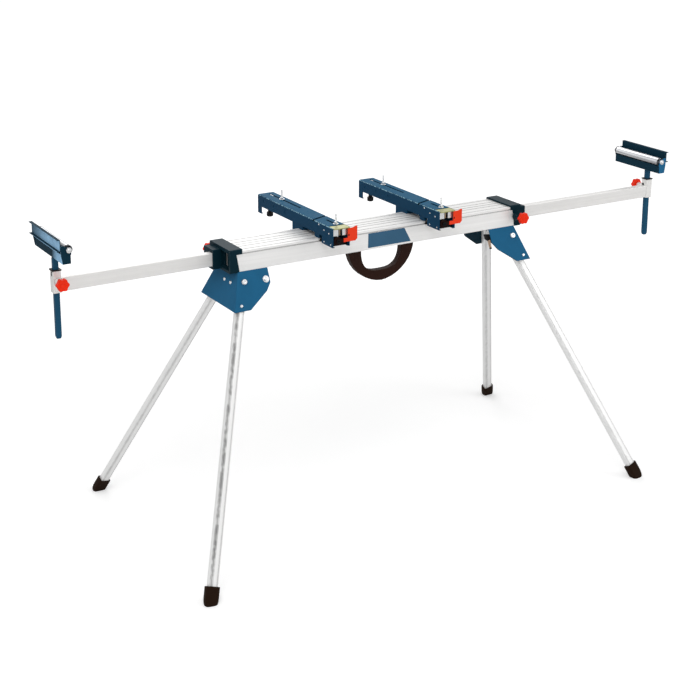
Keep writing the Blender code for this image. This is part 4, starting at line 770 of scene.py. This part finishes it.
# %% Bracket screws
HEX_HEAD = [(0.1, -0.2), (10.0, -0.2), (10.4, 0.4), (10.0, 1.2), (7.4, 1.3, 1), (7.8, 1.8, 1),
            (7.8, 5.2, 1), (6.8, 6.0), (0.1, 6.1)]
DOME_HEAD = [(0.1, -0.2), (5.2, -0.2), (5.4, 0.5), (4.9, 1.8), (3.7, 2.8), (2.0, 3.2), (1.8, 1.9),
             (0.1, 1.8)]
BOLT_OUT, BOLT_DOWN = 0.4085, 0.0330
END_PLATE_OUT, END_PLATE_FALL, END_PLATE_SPREAD = 0.4920, 0.1143 * math.cos(LEG_LEAN), 0.0350
SCREW_DOWN, SCREW_ACROSS = 0.037, (0.040, 0.002)
slope = math.hypot(END_PLATE_FALL, END_PLATE_SPREAD)
for side, end in ENDS.items():
    place, normal = on_plate(end, end, BOLT_OUT, BOLT_DOWN)
    fastener(f"{side}_bracket_bolt", HEX_HEAD, place, normal, steel, "frame", 36, 6)
    end_normal = np.array((end * END_PLATE_FALL, 0, END_PLATE_SPREAD)) / slope
    end_down = np.array((end * END_PLATE_SPREAD, 0, -END_PLATE_FALL)) / slope
    for index, across in enumerate(SCREW_ACROSS):
        spot = np.array((SHIFT + end * END_PLATE_OUT, end * across, PLATE_TOP)) + end_down * SCREW_DOWN
        fastener(f"{side}_bracket_screw_{index}", DOME_HEAD, spot, end_normal, steel, "frame")
print("bracket screws", 3 * len(ENDS))

# %% [markdown]
# Rivets join the arms' inner stiffeners to their walls: five pale heads near the front of each wall.

# %% Arm rivets
RIVET = [(0.1, -0.2), (2.2, -0.2), (2.4, 0.2), (2.0, 0.8), (1.1, 1.2), (0.1, 1.3)]
RIVET_PLACES = ((-0.0645, 0.0068), (-0.0949, 0.0162), (-0.1230, 0.0205), (-0.0945, 0.0515), (-0.1334, 0.0519))
ARM_WALL = 0.029
for side, arm_x in ARM_X.items():
    for label, wall in (("outer", -1), ("inner", 1)):
        for index, (along, drop) in enumerate(RIVET_PLACES):
            spot = (arm_x + wall * ARM_WALL, along, ARM_TOP - drop)
            fastener(f"{side}_rivet_{label}_{index}", RIVET, spot, (wall, 0, 0), steel, f"{side}_arm",
                     20)
print("rivets", 2 * len(ENDS) * len(RIVET_PLACES))

# %% [markdown]
# The mounting bolts are threaded studs, each with a nut, washer and square head. A thread is one
# surface: a ridge that climbs one pitch each turn. The solid's bolt is plain, so these replace it.


# %% Threaded studs
def thread_grid(origin, radius, low, high, pitch=0.0010, depth=0.0005, sides=24, steps_per_pitch=6):
    """Ridges on a rod: r(a, h) = radius - depth * |2 frac(h / pitch - a / 2pi) - 1|, faded at the top."""
    fade, lost = 0.0012, 0.0010
    height = np.linspace(low, high, int((high - low) / pitch * steps_per_pitch) + 1)
    angle = np.linspace(0, 2 * np.pi, sides, endpoint=False)
    turns = height[:, None] / pitch - angle[None, :] / (2 * np.pi)
    ridge = np.abs(2 * (turns - np.floor(turns)) - 1)
    chamfer = np.clip((height[:, None] - (high - fade)) / fade, 0, 1) * lost
    reach = radius - depth * ridge - chamfer
    rod = np.stack([reach * np.cos(angle), reach * np.sin(angle), height[:, None] + 0 * angle], axis=-1)
    return np.asarray(origin) + rod


NUT = [(3.2, 0.0), (5.0, 0.0, 1), (5.6, 0.6, 1), (5.6, 4.4, 1), (5.0, 5.0, 1), (3.2, 5.0)]
WASHER = [(3.3, 0.0), (8.4, 0.0), (8.5, 0.4), (8.5, 1.0), (8.3, 1.3), (3.3, 1.3)]
SQUARE_HEAD = [(0.1, -4.4), (7.0, -4.4, 1), (7.4, -3.8, 1), (7.4, -0.3, 1), (0.1, -0.2)]
STUD_RADIUS, STUD_SIDEWAYS, STUD_LOW, SHEET = 0.0030, 0.0045, -0.0004, 0.0025
NUT_LIFT, WASHER_LIFT = 0.0017, 0.0003
for side, arm_x in ARM_X.items():
    for bolt, along in (("front_bolt", -0.1060), ("rear_bolt", 0.2246)):
        name = f"{side}_{bolt}"
        foot = (arm_x + STUD_SIDEWAYS, along, ARM_TOP - SHEET)
        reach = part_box(name)[1].z - foot[2]
        nut_seat, washer_seat = ((*foot[:2], ARM_TOP + lift) for lift in (NUT_LIFT, WASHER_LIFT))
        for label, grid in (("stud", thread_grid(foot, STUD_RADIUS, STUD_LOW, reach)),
                            ("nut", turned_grid(NUT, nut_seat, UPWARD, 36, 6)),
                            ("washer", turned_grid(WASHER, washer_seat, UPWARD)),
                            ("head", turned_grid(SQUARE_HEAD, foot, UPWARD, 32, 4))):
            piece = fitted(surface(f"{name}_{label}", grid), steel, name)
            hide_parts(name)
print("threaded bolts", 2 * len(ARM_X))

# %% [markdown]
# The photograph's rail carries a blue plate on its front. Here it is left bare: a thin enamelled
# plate whose right end is cut at a slant, with a rolled edge.


# %% Bare plate on the rail
def plate_grid(corners, radius, thick, y_face, steps=6):
    """A flat plate with round corners: rings go from the back edge over a small roll to the front."""
    points = []
    for index, corner in enumerate(corners):
        before, after = corners[index - 1] - corner, corners[(index + 1) % len(corners)] - corner
        before, after = before / np.linalg.norm(before), after / np.linalg.norm(after)
        half = math.acos(float(np.clip(before @ after, -1, 1))) / 2
        centre = corner + (before + after) / np.linalg.norm(before + after) * radius / math.sin(half)
        first = corner + before * radius / math.tan(half) - centre
        last = corner + after * radius / math.tan(half) - centre
        start = math.atan2(first[1], first[0])
        sweep = (math.atan2(last[1], last[0]) - start + math.pi) % (2 * math.pi) - math.pi
        angle = start + sweep * np.linspace(0, 1, steps + 1)
        points.append(centre + radius * np.stack([np.cos(angle), np.sin(angle)], axis=-1))
    ring = np.concatenate(points)[::-1]
    middle = ring.mean(axis=0)
    rows = []
    for inset, level in ((0.0, 0.0), (0.0, 0.6), (0.0002, 0.9), (0.0005, 1.0), (0.002, 1.0)):
        away = ring - middle
        flat = middle + away * (1 - inset / np.linalg.norm(away, axis=1, keepdims=True))
        rows.append(np.insert(flat, 1, y_face - thick * level, axis=1))
    return np.stack(rows)


plate_low, plate_high = RAIL_BOTTOM + 0.0060, RAIL_TOP - 0.0104
PLATE_CORNERS = np.array(((SHIFT - 0.0535, plate_low), (SHIFT - 0.0525, plate_high),
                          (SHIFT + 0.0765, plate_high), (SHIFT + 0.1005, plate_low)))
plate_blue = painted("plate_enamel", (0.044, 0.122, 0.210), roughness=0.34, edge_share=0.1)
plate_shape = plate_grid(PLATE_CORNERS, radius=0.0015, thick=0.0006, y_face=-RAIL_SIDE)
badge = fitted(surface("bare_plate", plate_shape), plate_blue, "frame")
print("bare plate", badge.name)

# %% [markdown]
# Each roller turns on a shaft with a nut at both ends. A black seal, a flat ring in the tube's recess,
# closes the gap to the shaft, and a thin black band is pressed over the tube's rim. A ring's profile
# ends where it starts, so it isn't capped.

# %% Roller nuts and seals
SHAFT_NUT = [(0.1, -0.1), (7.2, -0.1, 1), (8.0, 0.7, 1), (8.0, 5.8, 1), (7.1, 6.6, 1), (4.2, 6.7),
             (4.0, 9.6), (3.1, 10.5), (0.1, 10.6)]
SEAL = [(8.1, 0.0), (11.3, 0.0), (11.5, 0.4), (11.5, 1.0), (10.6, 1.3), (9.3, 0.9), (8.4, 1.3), (8.1, 1.0),
        (8.1, 0.0)]
BAND = [(12.96, -4.3), (13.16, -4.0), (13.16, -1.0), (13.12, -0.2), (12.8, 0.2), (11.7, -0.4),
        (12.96, -4.3)]
NUT_IN, SEAL_IN = 0.0093, 0.0026
for side in ENDS:
    tube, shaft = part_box(f"{side}_roller"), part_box(f"{side}_roller_shaft")
    axis_x, axis_z = (tube[0].x + tube[1].x) / 2, (tube[0].z + tube[1].z) / 2
    for index, (label, sense) in enumerate(FACES.items()):
        tube_y, shaft_y, way = tube[index].y, shaft[index].y, (0, sense, 0)
        seat = (axis_x, shaft_y - sense * NUT_IN, axis_z)
        fastener(f"{side}_shaft_nut_{label}", SHAFT_NUT, seat, way, steel, f"{side}_head",
                 36, 6)
        seal = turned_grid(SEAL, (axis_x, tube_y - sense * SEAL_IN, axis_z), way, 40)
        band = turned_grid(BAND, (axis_x, tube_y, axis_z), way, 48)
        for kind, grid in (("seal", seal), ("band", band)):
            ring = surface(f"{side}_{kind}_{label}", grid, capped=False)
            fitted(ring, black_plastic, f"{side}_roller")
print("roller nuts, seals and bands", 3 * len(FACES) * len(ENDS))

# %% [markdown]
# The clamp at each arm's front: a steel web and two cheeks under the zinc plate, a bronze sleeve beside
# the pillar, a pivot screw with a hexagon socket in the lever's hub, and a small dark rivet on the
# lever's red plate.


# %% Clamp details
def slab_grid(low, high, roll):
    """A plate between two corners: its outline goes from back to front, drawn in by roll at both faces."""
    rows = []
    for y, inset in ((high[1], roll), (high[1] - roll, 0.0), (low[1] + roll, 0.0), (low[1], roll)):
        left, right, bottom, top = low[0] + inset, high[0] - inset, low[2] + inset, high[2] - inset
        turns = np.array(((left, bottom), (right, bottom), (right, top), (left, top), (left, bottom)))
        sides = zip(turns[:-1], turns[1:], (5, 4, 5, 4))
        ring = np.concatenate([np.linspace(*side, endpoint=False) for side in sides])
        rows.append(np.insert(ring, 1, y, axis=1))
    return np.stack(rows)


SOCKET_SCREW = [(0.1, -0.3), (5.8, -0.3), (6.2, 0.4), (6.0, 2.2), (5.2, 3.0), (3.1, 3.1, 1), (2.9, 0.6, 1),
                (0.1, 0.5)]
SMALL_RIVET = [(0.1, -0.2), (2.1, -0.2), (2.3, 0.3), (1.9, 0.9), (1.0, 1.2), (0.1, 1.3)]
CHEEKS = (("web", -0.0262, 0.0262, -0.1185, -0.1165), ("left_cheek", -0.0262, -0.0070, -0.1405, -0.1390),
          ("right_cheek", 0.0060, 0.0262, -0.1405, -0.1390))
SLEEVE = [(0.1, 0.0), (4.6, 0.0), (4.8, 0.4), (4.8, 3.6), (4.0, 4.2), (4.0, 20.0), (4.8, 20.6), (4.8, 22.2),
          (0.1, 22.3)]
CHEEK_ROLL, CHEEK_LIFT, CHEEK_DROP = 0.0003, 0.0060, 0.0040
SLEEVE_X, SLEEVE_Y = -0.0005, -0.1330
HUB_IN, LEVER_RIVET_IN, LEVER_RIVET_DROP = 0.0130, 0.0490, 0.0256
for side, arm_x in ARM_X.items():
    lever_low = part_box(f"{side}_clamp_lever")[0]
    foot_z, head_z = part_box(f"{side}_clamp_plate")[0].z + CHEEK_LIFT, ARM_TOP - CHEEK_DROP
    for label, left, right, front, back in CHEEKS:
        shape = slab_grid((arm_x + left, front, foot_z), (arm_x + right, back, head_z), CHEEK_ROLL)
        fitted(surface(f"{side}_{label}", shape), steel, f"{side}_arm")
    fastener(f"{side}_sleeve", SLEEVE, (arm_x + SLEEVE_X, SLEEVE_Y, foot_z), UPWARD, sleeve_steel,
             f"{side}_arm", 28)
    hub = (lever_low.x + HUB_IN, lever_low.y, lever_low.z + HUB_IN)
    fastener(f"{side}_pivot_screw", SOCKET_SCREW, hub, FORWARD, black_steel, f"{side}_lever",
             36, 6)
    spot = (lever_low.x + LEVER_RIVET_IN, lever_low.y, ARM_TOP - LEVER_RIVET_DROP)
    fastener(f"{side}_lever_rivet", SMALL_RIVET, spot, FORWARD, black_steel, f"{side}_lever",
             20)
print("clamp details", (len(CHEEKS) + 3) * len(ARM_X))

# %% [markdown]
# Two dark spots mark the collars: a set screw on the right, and on the left an oblong plug, whose ring
# is pulled apart along its height.

# %% Collar screw and plug
SET_SCREW = [(0.1, -0.2), (4.5, -0.2), (4.8, 0.2), (4.6, 0.6), (2.6, 0.7, 1), (2.5, 0.1, 1), (0.1, 0.1)]
PLUG = [(0.1, -0.2), (2.6, -0.2), (2.8, 0.2), (2.6, 0.6), (0.1, 0.7)]
PLUG_STRETCH = 0.0040
right_low, left_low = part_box("right_collar")[0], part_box("left_collar")[0]
screw_seat = (right_low.x, -0.0075, right_low.z + 0.0446)
plug_seat = (left_low.x, 0.0093, left_low.z + 0.0543)
fastener("right_collar_screw", SET_SCREW, screw_seat, LEFTWARD, black_steel, "right_bar",
         24, 6)
plug_grid = turned_grid(PLUG, plug_seat, LEFTWARD)
plug_grid[..., 2] += np.sign(np.round(plug_grid[..., 2] - plug_seat[2], 6)) * PLUG_STRETCH
fitted(surface("left_collar_plug", plug_grid), black_plastic, "left_bar")
print("collar spots", 2)

# %% [markdown]
# Beside each latch a small coil spring sits on a pin at the bracket's edge, along the plate's slope.
# It is a circle carried along a helix, and the wire's circle stays square to the path.


# %% Latch springs
def helix_grid(origin, direction, radius, wire, turns, low, high, sides=10, steps_per_turn=26):
    """A wire ring carried along origin + radius (cos t, sin t) + (low + climb t) along the direction."""
    frame_axes = np.stack(axes_for(direction))
    t = np.linspace(0, 2 * np.pi * turns, int(turns * steps_per_turn) + 1)
    climb = (high - low) / (2 * np.pi * turns)
    out = np.stack([np.cos(t), np.sin(t), 0 * t], axis=-1)
    tangent = np.stack([-radius * np.sin(t), radius * np.cos(t), np.full_like(t, climb)], axis=-1)
    tangent /= np.linalg.norm(tangent, axis=1, keepdims=True)
    square = np.cross(tangent, out)
    path = out * radius
    path[:, 2] = low + climb * t
    angle = np.linspace(0, 2 * np.pi, sides, endpoint=False)
    ring = np.cos(angle)[None, :, None] * out[:, None, :] + np.sin(angle)[None, :, None] * square[:, None, :]
    return np.asarray(origin) + (path[:, None, :] + wire * ring) @ frame_axes


SPRING_PIN = [(0.1, 0.0), (5.6, 0.0), (5.8, 0.5), (5.8, 2.6), (5.4, 3.1), (2.2, 3.3), (2.0, 29.0),
              (4.2, 29.2), (4.4, 29.8), (4.4, 31.2), (3.8, 32.0), (0.1, 32.1)]
SPRING_OUT, SPRING_DOWN, SPRING_LIFT = 0.3905, 0.0290, -0.0060
COIL_RADIUS, WIRE_RADIUS, COIL_TURNS, COIL_LOW, COIL_HIGH = 0.0041, 0.0010, 8, 0.0043, 0.0280
for side, face in (("right", -1), ("left", 1)):
    seat = on_plate(ENDS[side], face, SPRING_OUT, SPRING_DOWN, SPRING_LIFT)[0]
    down = plate_axes(face)[0]
    coil = helix_grid(seat, down, COIL_RADIUS, WIRE_RADIUS, COIL_TURNS, COIL_LOW, COIL_HIGH)
    fitted(surface(f"{side}_latch_spring", coil), spring_wire, "frame")
    fastener(f"{side}_latch_spring_pin", SPRING_PIN, seat, down, black_steel, "frame", 28)
print("latch springs", 2)

# %% [markdown]
# The star knobs have a round cap pressed into their outer face: a shallow turned dish on the knob's
# axis.

# %% Knob caps
KNOB_CAP = [(0.1, -0.4), (7.8, -0.4), (8.1, 0.1), (7.8, 0.7), (6.6, 1.0), (6.0, 0.6), (0.1, 0.3)]
KNOB_FACES = {"left_bar_knob": 1, "right_bar_knob": -1, "left_post_knob": -1, "right_post_knob": 1}
for knob, face in KNOB_FACES.items():
    low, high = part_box(knob)
    seat = ((low.x + high.x) / 2, high.y if face > 0 else low.y, (low.z + high.z) / 2)
    fastener(f"{knob}_cap", KNOB_CAP, seat, (0, face, 0), knob_plastic, knob, 40)
print("knob caps", len(KNOB_FACES))

# %% [markdown]
# ## Studio
# One large soft lamp high on the left, a fill on the right and a weaker one behind, low enough that
# the bare metal doesn't clip to white.


# %% Lamps
def area_lamp(name, location, target, size, power):
    """A square soft lamp aimed at a point."""
    data = bpy.data.lights.new(name, "AREA")
    data.shape = "SQUARE"
    data.size = size
    data.energy = power
    lamp = new_object(name, data)
    lamp.location = location
    lamp.rotation_euler = (Vector(target) - Vector(location)).to_track_quat("-Z", "Y").to_euler()
    return lamp


area_lamp("key", (-1.8, -2.0, 3.8), (0, 0, 0.7), 2.8, 62)
area_lamp("fill", (2.8, -2.6, 2.2), (0, 0, 0.7), 2.4, 27)
area_lamp("rim", (0.6, 3.2, 2.8), (0, 0, 0.8), 2.2, 24)
print("lamps", 3)

# %% [markdown]
# The world lights the stand evenly. To the camera and in reflections it is plain white, by the light
# path, so the background is pale without more light falling on the stand.

# %% World
WORLD_LIGHT, WORLD_SEEN = 0.52, 1.0
world = bpy.data.worlds.new("studio")
bpy.context.scene.world = world
world.use_nodes = True
world_tree = world.node_tree
background = world_tree.nodes["Background"]
background.inputs["Color"].default_value = (1, 1, 1, 1)
light_path = world_tree.nodes.new("ShaderNodeLightPath")
seen = math_node(world_tree, "ADD", light_path.outputs["Is Camera Ray"], light_path.outputs["Is Glossy Ray"],
                 clamp=True)
world_tree.links.new(between(world_tree, seen, WORLD_LIGHT, WORLD_SEEN), background.inputs["Strength"])
bpy.context.scene.view_settings.view_transform = "Standard"
print("world light", WORLD_LIGHT)

# %% [markdown]
# The floor is pale paint that also glows a little to the camera alone, which makes it as white as the
# background. The glow is weaker under the stand, so the soft shadow stays.

# %% Floor
FLOOR_HALF = 14.0
GLOW_MIDDLE, GLOW_RIM, GLOW_FROM, GLOW_TO = 0.26, 0.56, 0.8, 3.6
corners = FLOOR_HALF * np.array(((-1, -1, 0), (1, -1, 0), (1, 1, 0), (-1, 1, 0)))
floor_mesh = bpy.data.meshes.new("floor")
floor_mesh.from_pydata(corners.tolist(), [], [(0, 1, 2, 3)])
floor = new_object("floor", floor_mesh)
floor_paint = bpy.data.materials.new("floor_paint")
floor_paint.use_nodes = True
floor_tree = floor_paint.node_tree
floor_shader = floor_tree.nodes["Principled BSDF"]
for label, value in (("Base Color", (0.93, 0.93, 0.93, 1)), ("Roughness", 0.9), ("Specular IOR Level", 0.0),
                     ("Emission Color", (1, 1, 1, 1))):
    floor_shader.inputs[label].default_value = value
floor_path = floor_tree.nodes.new("ShaderNodeLightPath")
spot = object_place(floor_tree)
squares = [times(floor_tree, spot[axis], spot[axis]) for axis in ("X", "Y")]
away = math_node(floor_tree, "SQRT", math_node(floor_tree, "ADD", *squares))
glow = between(floor_tree, ramp(floor_tree, away, GLOW_FROM, GLOW_TO), GLOW_MIDDLE, GLOW_RIM)
floor_seen = times(floor_tree, floor_path.outputs["Is Camera Ray"], glow)
floor_tree.links.new(floor_seen, floor_shader.inputs["Emission Strength"])
floor.data.materials.append(floor_paint)
print("floor", 2 * FLOOR_HALF, "m square")
